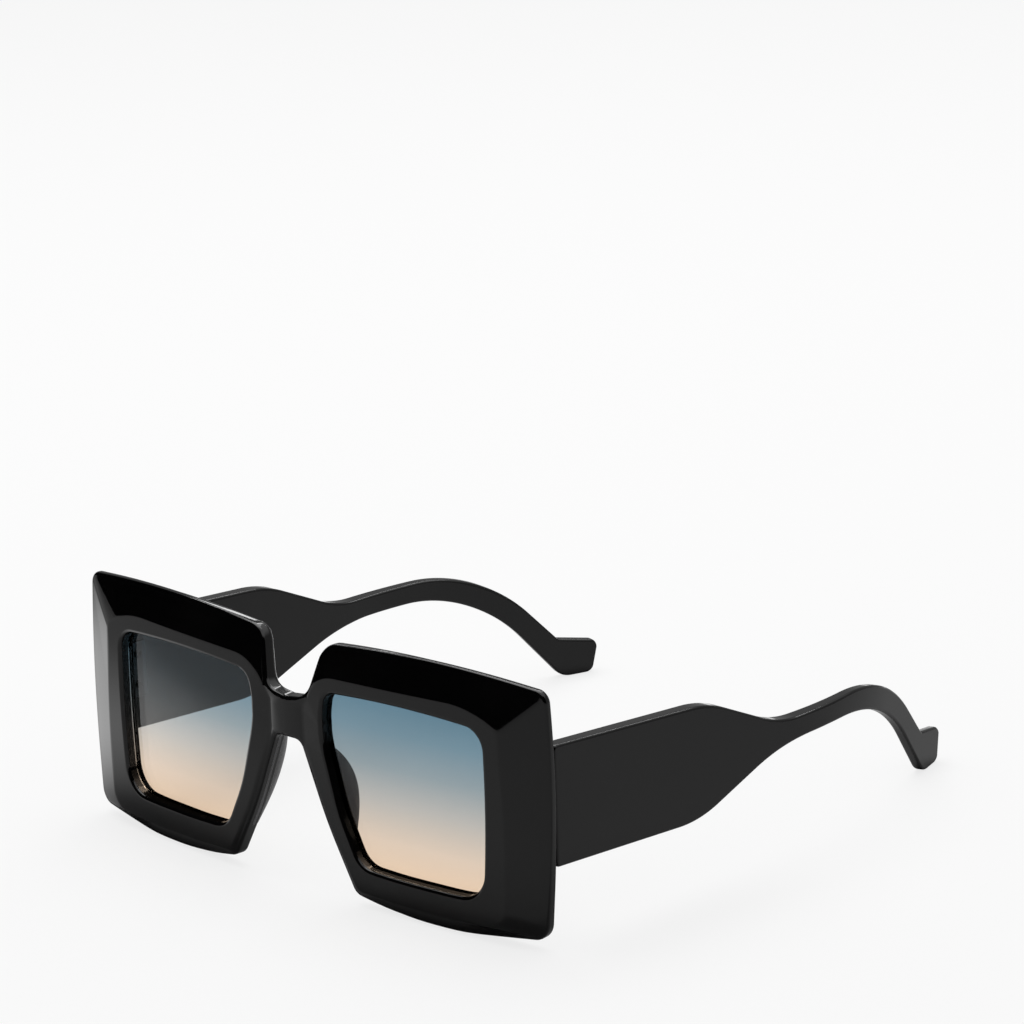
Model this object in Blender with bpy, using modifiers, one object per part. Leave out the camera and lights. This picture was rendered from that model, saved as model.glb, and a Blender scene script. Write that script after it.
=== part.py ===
"""Square sunglasses with a faceted, wrapped front and two broad folding temples.

Run with: blender --background --python part.py
Metres, +Z up. The front faces -Y and the open temples point to +Y. Left and right are the wearer's, so the
left side is at +X. The glasses stand on the lower edge of the front and on the feet of the temple tips.

The front is drawn flat as a half: u runs from the bridge outwards, v runs up and w runs out of its back.
Rings of points are lofted from the lens opening over the facets to the back, and then bent round WRAP_RADIUS.
"""
import math

import bmesh
import bpy
from mathutils import Matrix, Vector

MM = 0.001

# Lens openings, and how far the front reaches round them
LENS_WIDTH = 46.0 * MM
LENS_HEIGHT = 40.0 * MM
LENS_GAP = 22.4 * MM
SIDE_WIDTH = 16.4 * MM
TOP_WIDTH = 10.7 * MM
BOTTOM_WIDTH = 7.7 * MM

# Thickness of the front, from its back: at the bridge, at the outer end of a lens, and along the rim's edge. The
# front leans back a little towards its top, and swells backwards at the upper corners beside the bridge.
BRIDGE_THICKNESS = 4.4 * MM
RING_THICKNESS = 5.35 * MM
HORN_EDGE_THICKNESS = 1.8 * MM
EDGE_THICKNESS = 2.6 * MM
BOTTOM_EDGE_THICKNESS = 3.4 * MM
FOOT_EDGE_THICKNESS = 4.0 * MM
WRAP_RADIUS = 520 * MM
LEAN_SHARE = 0.017
BRIDGE_SCOOP = 0.7 * MM
HORN_SWELL = 2.2 * MM
SADDLE_DIP = 0.5 * MM

# Flat ring round each opening
RING_SIDE = 4.9 * MM
RING_TOP = 3.9 * MM
RING_BOTTOM = 4.0 * MM
BRIDGE_FLAT = 10.6 * MM
EDGE_FILLET = 0.8 * MM
RIDGE_FILLET = 0.4 * MM
OPENING_FILLET = 0.4 * MM
BACK_FILLET = 0.6 * MM

# Lens and its groove
LENS_THICKNESS = 1.8 * MM
LENS_BACK = 1.0 * MM
LENS_BITE = 0.8 * MM
LENS_EDGE = 0.2 * MM
SEAT_GAP = 0.25 * MM

# Nose pads
PAD_BELOW_BRIDGE = 1.8392 * MM
PAD_BOTTOM = 11.0 * MM
PAD_WIDTH = 4.6 * MM
PAD_DEPTH = 3.8 * MM
PAD_INSET = 0.5 * MM

# Temples
TEMPLE_LENGTH = 141.4 * MM
TEMPLE_TOP = 44.9 * MM
TEMPLE_THICKNESS = 3.8 * MM
TIP_THICKNESS = 2.5 * MM
TEMPLE_INSET = 0.6 * MM
TEMPLE_FILLET = 0.7 * MM
TEMPLE_GAP = 0.3 * MM
SLANT_LENGTH = 20.0 * MM

# The temple runs straight back, then bends inwards to the tip at this slope
TOE_IN_START = 74.5 * MM
TOE_IN_END = 111.5 * MM
TOE_IN_SHARE = 0.345

# Core wire inside each temple
CORE_RADIUS = 0.65 * MM
CORE_CLEARANCE = 0.3 * MM
CORE_SETBACK = 0.8 * MM
CORE_LENGTH = 92.0 * MM

# Hinges: five knuckles on one screw, three of them on the front's leaf
HINGE_INSET = 7.3 * MM
HINGE_HEIGHT = 32.0 * MM
KNUCKLE_RADIUS = 1.7 * MM
KNUCKLE_HEIGHT = 2.4 * MM
KNUCKLE_GAP = 0.12 * MM
KNUCKLE_COUNT = 5
LEAF_THICKNESS = 1.0 * MM
LEAF_CLEARANCE = 0.35 * MM
LEAF_PROUD = 0.5 * MM
LEAF_MARGIN = 0.3 * MM
FRONT_LEAF_LENGTH = 7.2 * MM
TEMPLE_LEAF_LENGTH = 10.0 * MM
TEMPLE_LEAF_START = 0.8 * MM
HINGE_SCREW_RADIUS = 0.65 * MM
RUNNING_GAP = 0.08 * MM
HEAD_RADIUS = 1.15 * MM
HEAD_HEIGHT = 0.5 * MM
HEAD_GAP = 0.1 * MM

# Small screws that hold the leaves
LEAF_SCREW_RADIUS = 0.5 * MM
LEAF_SCREW_HEAD = 0.95 * MM
LEAF_SCREW_LENGTH = 2.6 * MM
LEAF_SCREW_GAP = 0.15 * MM
LEAF_SCREW_SPREAD = 7.2 * MM
FRONT_LEAF_SCREW_INSET = 1.6 * MM
TEMPLE_LEAF_SCREW_INSET = 2.4 * MM

CUT_OVERRUN = 1.0 * MM

# Sizes that follow from the ones above
HALF_WIDTH = LENS_GAP / 2 + LENS_WIDTH + SIDE_WIDTH
FRONT_HEIGHT = BOTTOM_WIDTH + LENS_HEIGHT + TOP_WIDTH
GROOVE_BACK = LENS_BACK - SEAT_GAP
GROOVE_FRONT = LENS_BACK + LENS_THICKNESS + SEAT_GAP
GROOVE_DEPTH = LENS_BITE + SEAT_GAP
OVERALL_DEPTH = BRIDGE_THICKNESS + HALF_WIDTH ** 2 / WRAP_RADIUS / 2 + TEMPLE_LENGTH
BACK_Y = BRIDGE_THICKNESS - OVERALL_DEPTH / 2

# The outline of one half, from the middle of the bridge's top round to the middle of its underside: each corner
# is a share of HALF_WIDTH and of FRONT_HEIGHT, with the radius and the number of steps of its arc.
OUTLINE_START_SHARE = (0.0, 0.748)
OUTLINE_CORNER_SHARES = (
    (0.084, 0.760),
    (0.130, 0.970),
    (0.553, 1.020),
    (0.989, 0.974),
    (1.011, 0.565),
    (0.977, 0.040),
    (0.675, 0.0),
    (0.437, 0.0),
    (0.262, 0.042),
    (0.150, 0.295),
    (0.053, 0.585),
)
OUTLINE_END_SHARE = (0.0, 0.588)
OUTLINE_RADII = (4.5, 2.8, 315, 3.0, 270, 4.0, 100, 100, 3.4, 100, 2.8)
# Which of the outline's corners lie beside the bridge and the nose, counted from 1
NOTCH_INDEX = 1
FOOT_INDEX = 9
NASAL_INDEX = 10
UNDER_INDEX = 11
# Two arcs fill no more than this share of the edge between them
ARC_SHARE = 0.99

# The lens opening's corners, as shares of LENS_WIDTH and LENS_HEIGHT from its lower nasal corner
OPENING_START_SHARE = (0.002, 0.790)
OPENING_CORNER_SHARES = (
    (0.0, 0.830),
    (0.024, 0.977),
    (0.520, 1.018),
    (0.999, 0.983),
    (1.004, 0.510),
    (0.980, 0.007),
    (0.800, 0.0),
    (0.450, 0.0),
    (0.218, 0.012),
    (0.096, 0.328),
    (0.008, 0.680),
)
OPENING_END_SHARE = (0.002, 0.740)
OPENING_RADII = (12.0, 3.8, 251, 4.0, 250, 5.5, 100, 150, 6.0, 40, 25)
ARC_STEPS = (4, 5, 6, 6, 4, 6, 3, 3, 5, 3, 4)
PLANE_STEPS = 4

# Temple outline: shares of TEMPLE_LENGTH behind the front and of TEMPLE_TOP above the ground
TEMPLE_TOP_SHARES = (
    (0.0, 1.0),
    (0.335, 0.930),
    (0.493, 0.699),
    (0.794, 0.698),
    (0.929, 0.222),
    (1.0, 0.178),
)
TEMPLE_TOP_RADII = (0.9, 30, 28, 40, 0.8, 2.0)
TEMPLE_LOWER_SHARES = (
    (0.0, 0.401),
    (0.306, 0.357),
    (0.499, 0.590),
    (0.779, 0.592),
    (0.934, 0.0),
    (0.988, 0.0),
)
TEMPLE_LOWER_RADII = (0.9, 30, 55, 40, 5, 2.0)
TEMPLE_ARC_STEPS = (2, 5, 5, 8, 4, 4)
TEMPLE_EDGE_STEPS = (4, 2, 4, 2, 1)
CORE_PATH_SHARES = ((0.0, 0.700), (0.25, 0.655), (0.40, 0.645), (0.52, 0.640), (0.68, 0.640))

SIDES = {"left": 1, "right": -1}


def collection(name):
    """A new collection in the scene."""
    made = bpy.data.collections.new(name)
    bpy.context.scene.collection.children.link(made)
    return made


def material(name, colour, roughness, metallic=0.0, alpha=1.0):
    """A Principled material with one colour."""
    made = bpy.data.materials.new(name)
    made.use_nodes = True
    shader = made.node_tree.nodes["Principled BSDF"]
    shader.inputs["Base Color"].default_value = (*colour, 1.0)
    shader.inputs["Roughness"].default_value = roughness
    shader.inputs["Metallic"].default_value = metallic
    shader.inputs["Alpha"].default_value = alpha
    return made


def add_object(name, mesh, finish, group, pivot=None, smooth_angle=0.6):
    """Put a mesh drawn in place into the scene; a pivot empty becomes its parent and its origin."""
    made = bpy.data.objects.new(name, mesh)
    group.objects.link(made)
    if finish is not None:
        mesh.materials.append(finish)
    if pivot is not None:
        mesh.transform(Matrix.Translation(-pivot.location))
        made.parent = pivot
    mesh.shade_smooth()
    mesh.set_sharp_from_angle(angle=smooth_angle)
    return made


def mesh_from(name, vertices, faces, side=1):
    """A mesh from points and faces, mirrored to the other side of the glasses where side is -1."""
    made = bpy.data.meshes.new(name)
    placed = [(x * side, y, z) for x, y, z in vertices]
    turned = faces if side > 0 else [face[::-1] for face in faces]
    made.from_pydata(placed, [], turned)
    return made


def make_cutter(name, mesh, cutters, pivot=None):
    """An object that only cuts, shown as a wire frame and left out of renders."""
    made = add_object(name, mesh, None, cutters, pivot)
    made.display_type = "WIRE"
    made.hide_render = True
    return made


def boolean(target, cutter, operation="DIFFERENCE"):
    """Cut or join with the exact solver."""
    made = target.modifiers.new(cutter.name, "BOOLEAN")
    made.operation = operation
    made.solver = "EXACT"
    made.object = cutter


def box_mesh(name, pieces, side=1):
    """Boxes in one mesh: each piece is a matrix and the box's three sizes."""
    builder = bmesh.new()
    for placement, sizes in pieces:
        bmesh.ops.create_cube(builder, size=1.0, matrix=placement @ Matrix.Diagonal((*sizes, 1.0)))
    return mirrored_mesh(name, builder, side)


def cylinder_mesh(name, pieces, segments, side=1):
    """Cylinders in one mesh: each piece is a matrix whose Z is the axis, a radius and a length."""
    builder = bmesh.new()
    for placement, radius, length in pieces:
        bmesh.ops.create_cone(builder, cap_ends=True, segments=segments, radius1=radius, radius2=radius,
                              depth=length, matrix=placement)
    return mirrored_mesh(name, builder, side)


def mirrored_mesh(name, builder, side):
    """Finish a bmesh, mirrored in X where side is -1."""
    if side < 0:
        bmesh.ops.scale(builder, vec=(-1, 1, 1), verts=builder.verts)
        bmesh.ops.reverse_faces(builder, faces=builder.faces)
    made = bpy.data.meshes.new(name)
    builder.to_mesh(made)
    builder.free()
    return made


def scaled(shares, width, height, corner=(0, 0)):
    """Outline points from their shares of a width and a height."""
    return [Vector((corner[0] + across * width, corner[1] + up * height)) for across, up in shares]


def fitted_radii(points, radii):
    """The radii of a polyline's arcs, less where two arcs would overlap on the edge between them."""
    tangents = []
    for before, corner, after in zip(points, points[1:], points[2:]):
        tangents.append(math.tan((before - corner).angle(after - corner) / 2))
    reaches = [0, *(radius / tangent for radius, tangent in zip(radii, tangents)), 0]
    for place, (start, end) in enumerate(zip(points, points[1:])):
        excess = reaches[place] + reaches[place + 1] - (end - start).length * ARC_SHARE
        if excess > 0:
            longer = place if reaches[place] > reaches[place + 1] else place + 1
            reaches[longer] -= excess
    return [reach * tangent for reach, tangent in zip(reaches[1:-1], tangents)]


def rounded_path(points, radii, arc_steps, edge_steps=None):
    """Round the inner points of a polyline with arcs. Also gives the index of each arc's middle."""
    path = []
    marks = []
    edge_steps = edge_steps or (1,) * (len(points) - 3)
    for index, (radius, steps) in enumerate(zip(fitted_radii(points, radii), arc_steps)):
        before, corner, after = points[index:index + 3]
        to_before = (before - corner).normalized()
        to_after = (after - corner).normalized()
        half_angle = to_before.angle(to_after) / 2
        start = corner + to_before * radius / math.tan(half_angle)
        centre = corner + (to_before + to_after).normalized() * radius / math.sin(half_angle)
        turn = math.pi - 2 * half_angle
        if to_before.x * to_after.y - to_before.y * to_after.x > 0:
            turn = -turn
        if path and edge_steps[index - 1] > 1:
            last = path[-1]
            count = edge_steps[index - 1]
            path.extend(last.lerp(start, step / count) for step in range(1, count))
        marks.append(len(path) + steps // 2)
        spoke = start - centre
        for step in range(steps + 1):
            path.append(centre + Matrix.Rotation(turn * step / steps, 2) @ spoke)
    return path, marks


def lengths_along(path):
    """The distance of each point from the path's start."""
    lengths = [0.0]
    for before, after in zip(path, path[1:]):
        lengths.append(lengths[-1] + (after - before).length)
    return lengths


def spread_values(path, marks, values):
    """Give each point of a path a value that runs straight from each mark to the next."""
    lengths = lengths_along(path)
    spread = []
    for index, length in enumerate(lengths):
        stretch = max(place for place, mark in enumerate(marks[:-1]) if mark <= index)
        first, last = lengths[marks[stretch]], lengths[marks[stretch + 1]]
        share = (length - first) / (last - first)
        spread.append(values[stretch] + (values[stretch + 1] - values[stretch]) * share)
    return spread


def offset_path(path, distance, closed):
    """Move each point to the right of its path. The ends of an open path only move up or down."""
    moved = []
    for index, point in enumerate(path):
        ahead = path[(index + 1) % len(path)]
        behind = path[index - 1]
        along = (ahead - behind).normalized()
        aside = Vector((along.y, -along.x))
        if not closed and index == 0:
            aside = Vector((0, -1))
        if not closed and index == len(path) - 1:
            aside = Vector((0, 1))
        moved.append(point + aside * distance)
    return moved


def bend(u, v, w):
    """Bend a point of the flat front round the wrap axis, into the world, and lean it back."""
    angle = u / WRAP_RADIUS
    reach = WRAP_RADIUS + w
    return Vector((reach * math.sin(angle), BACK_Y + WRAP_RADIUS - reach * math.cos(angle) + lean_at(v), v))


def lean_at(v):
    """How far the front's lean moves a point at this height towards the back."""
    return LEAN_SHARE * (v - HINGE_HEIGHT)


def ring_height(u):
    """Height of the flat ring above the back of the front; the front is thickest beside the hinges."""
    share = u / (LENS_GAP / 2 + LENS_WIDTH)
    return BRIDGE_THICKNESS + (RING_THICKNESS - BRIDGE_THICKNESS) * share ** 2


def opening_path():
    """The lens opening, clockwise as seen from the front."""
    corner = (LENS_GAP / 2, BOTTOM_WIDTH)
    shares = (OPENING_START_SHARE, *OPENING_CORNER_SHARES, OPENING_END_SHARE)
    points = scaled(shares, LENS_WIDTH, LENS_HEIGHT, corner)
    path, _ = rounded_path(points, [radius * MM for radius in OPENING_RADII], ARC_STEPS)
    return close_on_plane([points[0], *path, points[-1]])


def outline_path():
    """The outer edge of one half, from the middle of the bridge's top to the middle of its underside."""
    shares = (OUTLINE_START_SHARE, *OUTLINE_CORNER_SHARES, OUTLINE_END_SHARE)
    points = scaled(shares, HALF_WIDTH, FRONT_HEIGHT)
    path, marks = rounded_path(points, [radius * MM for radius in OUTLINE_RADII], ARC_STEPS)
    path = [points[0], *path, points[-1]]
    return path, [0, *(mark + 1 for mark in marks), len(path) - 1]


def ridge_path(outline, marks):
    """The outer edge of the flat ring: round the opening outside, and along the rim's edge at the nose."""
    left = LENS_GAP / 2
    right = left + LENS_WIDTH + RING_SIDE
    low = BOTTOM_WIDTH - RING_BOTTOM
    high = BOTTOM_WIDTH + LENS_HEIGHT + RING_TOP
    crease = BRIDGE_FLAT / 2
    inset = EDGE_FILLET + RIDGE_FILLET
    inner = offset_path(outline, inset, closed=False)
    notch, nasal = inner[marks[NOTCH_INDEX]], inner[marks[NASAL_INDEX]]
    under, foot = inner[marks[UNDER_INDEX]], inner[marks[FOOT_INDEX]]
    points = [
        Vector((crease, inner[0].y - RIDGE_FILLET)),
        Vector((notch.x + inset, notch.y + RIDGE_FILLET)),
        Vector((left + RIDGE_FILLET * 6, high - RIDGE_FILLET)),
        Vector((left + LENS_WIDTH * 0.58, high + RIDGE_FILLET)),
        Vector((right - RIDGE_FILLET, high - RIDGE_FILLET)),
        Vector((right, low + LENS_HEIGHT / 2)),
        Vector((right - RIDGE_FILLET * 2, low)),
        Vector((left + LENS_WIDTH * 0.8, low - RIDGE_FILLET)),
        Vector((left + LENS_WIDTH * 0.45, low - RIDGE_FILLET)),
        Vector((foot.x + RIDGE_FILLET, low)),
        nasal,
        Vector((under.x + inset, under.y - RIDGE_FILLET)),
        Vector((crease, inner[-1].y + RIDGE_FILLET)),
    ]
    radii = (1.5, 5.0, 550, 5.5, 555, 5.0, 60, 60, 3.0, 60, 1.5)
    path, _ = rounded_path(points, [radius * MM for radius in radii], ARC_STEPS)
    return [points[0], *path, points[-1]]


def close_on_plane(path):
    """Add the points that lead back from a path's end to its start, across the middle of the bridge."""
    last, first = path[-1], path[0]
    return [*path, *(last.lerp(first, step / PLANE_STEPS) for step in range(1, PLANE_STEPS))]


def lofted(loops, closed):
    """Quads between neighbouring loops; closed says whether the loops run all the way round."""
    faces = []
    for (inner, outer), around in zip(zip(loops, loops[1:]), closed):
        count = len(inner) if around else min(len(inner), len(outer)) - 1
        for index in range(count):
            after = (index + 1) % len(inner)
            faces.append((inner[index], inner[after], outer[after], outer[index]))
    return faces


def front_half_mesh():
    """One half of the front, open at the middle of the bridge."""
    opening = opening_path()
    outline, marks = outline_path()
    ridge = close_on_plane(ridge_path(outline, marks))
    ring_edge = BRIDGE_THICKNESS - SADDLE_DIP
    notch_edge = BRIDGE_THICKNESS - EDGE_FILLET / 2
    side_edge = (HORN_EDGE_THICKNESS + EDGE_THICKNESS) / 2
    edge_values = (ring_edge, notch_edge, HORN_EDGE_THICKNESS, side_edge, side_edge, side_edge,
                   EDGE_THICKNESS, BOTTOM_EDGE_THICKNESS, BOTTOM_EDGE_THICKNESS, FOOT_EDGE_THICKNESS,
                   notch_edge, notch_edge, ring_edge)
    scoop_values = (BRIDGE_SCOOP, 0, -HORN_SWELL, -HORN_SWELL / 6, *(0,) * 5, BRIDGE_SCOOP, BRIDGE_SCOOP / 2,
                    BRIDGE_SCOOP / 2, BRIDGE_SCOOP)
    edge = spread_values(outline, marks, edge_values)
    scoop = spread_values(outline, marks, scoop_values)

    vertices = []
    loops = []
    closed = []

    def add_loop(points, heights, full):
        start = len(vertices)
        vertices.extend(bend(point.x, point.y, height) for point, height in zip(points, heights))
        loops.append(list(range(start, len(vertices))))
        closed.append(full)

    def plane_closed(points, heights):
        across = close_on_plane([Vector((point.x, point.y, height)) for point, height in zip(points, heights)])
        return [Vector((point.x, point.y)) for point in across], [point.z for point in across]

    def opening_loop(distance, heights):
        add_loop(offset_path(opening, -distance, closed=True), heights, True)

    ring = [ring_height(point.x) for point in opening]
    level = [0.0] * len(opening)
    opening_loop(0, [height - OPENING_FILLET for height in ring])
    opening_loop(OPENING_FILLET * 0.3, [height - OPENING_FILLET * 0.3 for height in ring])
    opening_loop(OPENING_FILLET, ring)

    edge_line = offset_path(outline, EDGE_FILLET, closed=False)
    edge_points, edge_heights = plane_closed(edge_line, edge)
    ridge_heights = [ring_height(point.x) for point in ridge]
    for share, drop in ((0.0, 0.0), (0.08, 0.03), (0.5, 0.5)):
        points = [start.lerp(end, share) for start, end in zip(ridge, edge_points)]
        dip = SADDLE_DIP * drop * (1 - drop)
        heights = [high + (low - high) * drop - (dip if high - low < 2 * SADDLE_DIP else 0)
                   for high, low in zip(ridge_heights, edge_heights)]
        add_loop(points, heights, True)
    add_loop(edge_points, edge_heights, False)
    for turn in (30, 60, 90):
        inset = EDGE_FILLET * (1 - math.sin(math.radians(turn)))
        drop = EDGE_FILLET * (1 - math.cos(math.radians(turn)))
        add_loop(offset_path(outline, inset, closed=False), [height - drop for height in edge], False)
    for turn in (0, 45):
        inset = BACK_FILLET * (1 - math.cos(math.radians(turn)))
        rise = BACK_FILLET * (1 - math.sin(math.radians(turn)))
        add_loop(offset_path(outline, inset, closed=False), [height + rise for height in scoop], False)
    back_points, back_heights = plane_closed(offset_path(outline, BACK_FILLET, closed=False), scoop)
    add_loop(back_points, back_heights, True)

    opening_loop(OPENING_FILLET, level)
    opening_loop(0, [OPENING_FILLET] * len(opening))
    opening_loop(0, [GROOVE_BACK] * len(opening))
    opening_loop(GROOVE_DEPTH, [GROOVE_BACK] * len(opening))
    opening_loop(GROOVE_DEPTH, [GROOVE_FRONT] * len(opening))
    opening_loop(0, [GROOVE_FRONT] * len(opening))
    loops.append(loops[0])
    return mesh_from("front_half", vertices, lofted(loops, closed))


def make_front(parts, cutters, finish):
    """The front with its two openings, the leaf pockets and the blind screw holes."""
    front = add_object("front_frame", front_half_mesh(), finish, parts)
    mirror = front.modifiers.new("mirror", "MIRROR")
    mirror.use_axis = (True, False, False)
    mirror.merge_threshold = 0.01 * MM
    pockets = []
    holes = []
    for side in SIDES.values():
        frame = leaf_frame(side)
        depth = LEAF_THICKNESS + SEAT_GAP + CUT_OVERRUN
        size = (FRONT_LEAF_LENGTH + 2 * SEAT_GAP, depth, leaf_height() + 2 * SEAT_GAP)
        middle = CUT_OVERRUN / 2 - (LEAF_THICKNESS + SEAT_GAP) / 2
        pockets.append((frame @ Matrix.Translation((0, middle, 0)), size))
        for place in front_screw_places(side):
            length = LEAF_SCREW_LENGTH + SEAT_GAP + CUT_OVERRUN
            centre = Matrix.Translation((0, 0, (CUT_OVERRUN - LEAF_SCREW_LENGTH - SEAT_GAP) / 2))
            holes.append((place @ centre, LEAF_SCREW_RADIUS + LEAF_SCREW_GAP, length))
    boolean(front, make_cutter("front_pockets", box_mesh("front_pockets", pockets), cutters))
    boolean(front, make_cutter("front_holes", cylinder_mesh("front_holes", holes, 12), cutters))
    return front


def make_lens(name, side, parts, finish):
    """A lens that follows the wrap, held all round in the groove."""
    rim = offset_path(opening_path(), -LENS_BITE, closed=True)
    centre = sum(rim, Vector((0, 0))) / len(rim)
    front = LENS_BACK + LENS_THICKNESS
    rings = [(share, front) for share in (0.3, 0.6, 0.85)]
    rings += [(1 - LENS_EDGE / (LENS_WIDTH / 2), front), (1.0, front - LENS_EDGE), (1.0, LENS_BACK + LENS_EDGE)]
    rings += [(1 - LENS_EDGE / (LENS_WIDTH / 2), LENS_BACK)]
    rings += [(share, LENS_BACK) for share in (0.85, 0.6, 0.3)]
    vertices = []
    loops = []
    for share, height in rings:
        start = len(vertices)
        vertices.extend(bend(*centre.lerp(point, share), height) for point in rim)
        loops.append(list(range(start, len(vertices))))
    faces = lofted(loops, [True] * len(loops))
    for loop, height, turned in ((loops[0], front, False), (loops[-1], LENS_BACK, True)):
        middle = len(vertices)
        vertices.append(bend(*centre, height))
        for here, after in zip(loop, loop[1:] + loop[:1]):
            faces.append((middle, here, after) if turned else (middle, after, here))
    return add_object(name, mesh_from(name, vertices, faces, side), finish, parts)


def make_nose_pad(name, side, parts, finish):
    """A wing bonded to the back of the rim beside the nose, deepest at its middle."""
    outline, marks = outline_path()
    nasal = outline[marks[FOOT_INDEX]:marks[UNDER_INDEX] + 1]
    pad_top = FRONT_HEIGHT * OUTLINE_END_SHARE[1] - PAD_BELOW_BRIDGE
    steps = 10
    section_shares = ((0.0, 0.0), (0.05, 0.35), (0.3, 0.8), (0.62, 1.0), (0.88, 0.88), (1.0, 0.45), (1.0, 0.0))
    vertices = []
    loops = []
    for step in range(steps + 1):
        share = step / steps
        v = pad_top + (PAD_BOTTOM - pad_top) * share
        above = next(index for index, point in enumerate(nasal) if point.y >= v)
        low, high = nasal[above - 1], nasal[above]
        edge = low.lerp(high, (v - low.y) / (high.y - low.y))
        along = (high - low).normalized()
        into_rim = Vector((along.y, -along.x))
        fullness = math.sin(math.pi * (0.06 + 0.88 * share)) ** 0.6
        start = len(vertices)
        for across, depth in section_shares:
            point = edge + into_rim * (PAD_INSET + PAD_WIDTH * (0.5 + (across - 0.5) * fullness))
            vertices.append(bend(point.x, point.y, -SEAT_GAP - PAD_DEPTH * depth * fullness))
        loops.append(list(range(start, len(vertices))))
    faces = lofted(loops, [True] * len(loops))
    faces.append(tuple(loops[0][::-1]))
    faces.append(tuple(loops[-1]))
    return add_object(name, mesh_from(name, vertices, faces, side), finish, parts, smooth_angle=1.2)


def stack_height():
    """Height of all the knuckles of a hinge and the gaps between them."""
    return KNUCKLE_COUNT * KNUCKLE_HEIGHT + (KNUCKLE_COUNT - 1) * KNUCKLE_GAP


def leaf_height():
    """Height of a hinge leaf's plate."""
    return stack_height() + 2 * LEAF_MARGIN


def axis_offset():
    """How far the hinge axis lies outside the middle of the front's leaf."""
    return FRONT_LEAF_LENGTH / 2 - KNUCKLE_RADIUS - LEAF_MARGIN


def leaf_frame(side):
    """A frame on the back of the front, at the middle of its leaf: X outwards, Y away from it, Z up."""
    u = HALF_WIDTH - HINGE_INSET - axis_offset()
    angle = u / WRAP_RADIUS * side
    origin = bend(u * side, HINGE_HEIGHT, 0)
    return Matrix.Translation(origin) @ Matrix.Rotation(angle, 4, "Z")


def hinge_axis(side):
    """A point on the hinge's vertical axis, at the middle of its height."""
    back = KNUCKLE_RADIUS + LEAF_CLEARANCE
    return leaf_frame(side) @ Vector((side * axis_offset(), back, 0))


def knuckle_levels(places):
    """Heights of the middles of some of the knuckles, counted from the bottom."""
    pitch = KNUCKLE_HEIGHT + KNUCKLE_GAP
    return [(place - (KNUCKLE_COUNT - 1) / 2) * pitch for place in places]


def knuckle_mesh(name, frame, centre, reach, levels, side):
    """Knuckles: round towards -X of the frame, with straight sides that run to reach along its +X."""
    builder = bmesh.new()
    steps = 12
    outline = [(math.cos(math.radians(angle)) * KNUCKLE_RADIUS, math.sin(math.radians(angle)) * KNUCKLE_RADIUS)
               for angle in (90 + 180 * step / steps for step in range(steps + 1))]
    outline += [(reach, -KNUCKLE_RADIUS), (reach, KNUCKLE_RADIUS)]
    for level in levels:
        rings = []
        for end in (-KNUCKLE_HEIGHT / 2, KNUCKLE_HEIGHT / 2):
            rings.append([builder.verts.new(frame @ (centre + Vector((x, y, level + end)))) for x, y in outline])
        lower, upper = rings
        builder.faces.new(lower[::-1])
        builder.faces.new(upper)
        for index, point in enumerate(lower):
            after = (index + 1) % len(lower)
            builder.faces.new((point, lower[after], upper[after], upper[index]))
    bmesh.ops.recalc_face_normals(builder, faces=builder.faces)
    return mirrored_mesh(name, builder, side)


def turned_screw(name, profile, placement, finish, group, pivot=None, segments=12):
    """A screw turned from half of its section, placed with its head towards the placement's +Z."""
    made = bpy.data.meshes.new(name)
    made.from_pydata([(radius, 0, height) for radius, height in profile], [],
                     [(index, index + 1) for index in range(len(profile) - 1)])
    screw = add_object(name, made, finish, group)
    if pivot is not None:
        screw.parent = pivot
        placement = Matrix.Translation(-pivot.location) @ placement
    screw.matrix_local = placement
    turn = screw.modifiers.new("turn", "SCREW")
    turn.steps = segments
    turn.render_steps = segments
    turn.use_normal_flip = True
    turn.use_merge_vertices = True
    turn.merge_threshold = 0.01 * MM
    return screw


def screw_profile(shaft_radius, shaft_length, head_radius):
    """Half a section of a screw, from the top of its head down: the underside of the head is at height 0."""
    return ((0, HEAD_HEIGHT), (head_radius - HEAD_GAP, HEAD_HEIGHT), (head_radius, HEAD_HEIGHT - HEAD_GAP),
            (head_radius, 0), (shaft_radius, 0), (shaft_radius, -shaft_length), (0, -shaft_length))


def front_screw_places(side):
    """Places of the front leaf's screws: +Z points out of the back of the front."""
    across = FRONT_LEAF_SCREW_INSET - FRONT_LEAF_LENGTH / 2
    outwards = Matrix.Rotation(-math.pi / 2, 4, "X")
    return [leaf_frame(side) @ Matrix.Translation((side * across, 0, level)) @ outwards
            for level in (-LEAF_SCREW_SPREAD / 2, LEAF_SCREW_SPREAD / 2)]


def temple_leaf_end():
    """World Y of the far end of the temple's leaf, whose near end lies a little in front of the axis."""
    return hinge_axis(1).y - TEMPLE_LEAF_START + TEMPLE_LEAF_LENGTH


def temple_screw_places(side):
    """Places of the temple leaf's screws: +Z points out of the inner face of the temple."""
    axis = hinge_axis(1)
    y = temple_leaf_end() - TEMPLE_LEAF_SCREW_INSET
    inwards = Matrix.Rotation(-math.pi / 2 * side, 4, "Y")
    return [Matrix.Translation((side * (inner_face() - LEAF_PROUD), y, axis.z + level)) @ inwards
            for level in (-LEAF_SCREW_SPREAD / 2, LEAF_SCREW_SPREAD / 2)]


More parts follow.
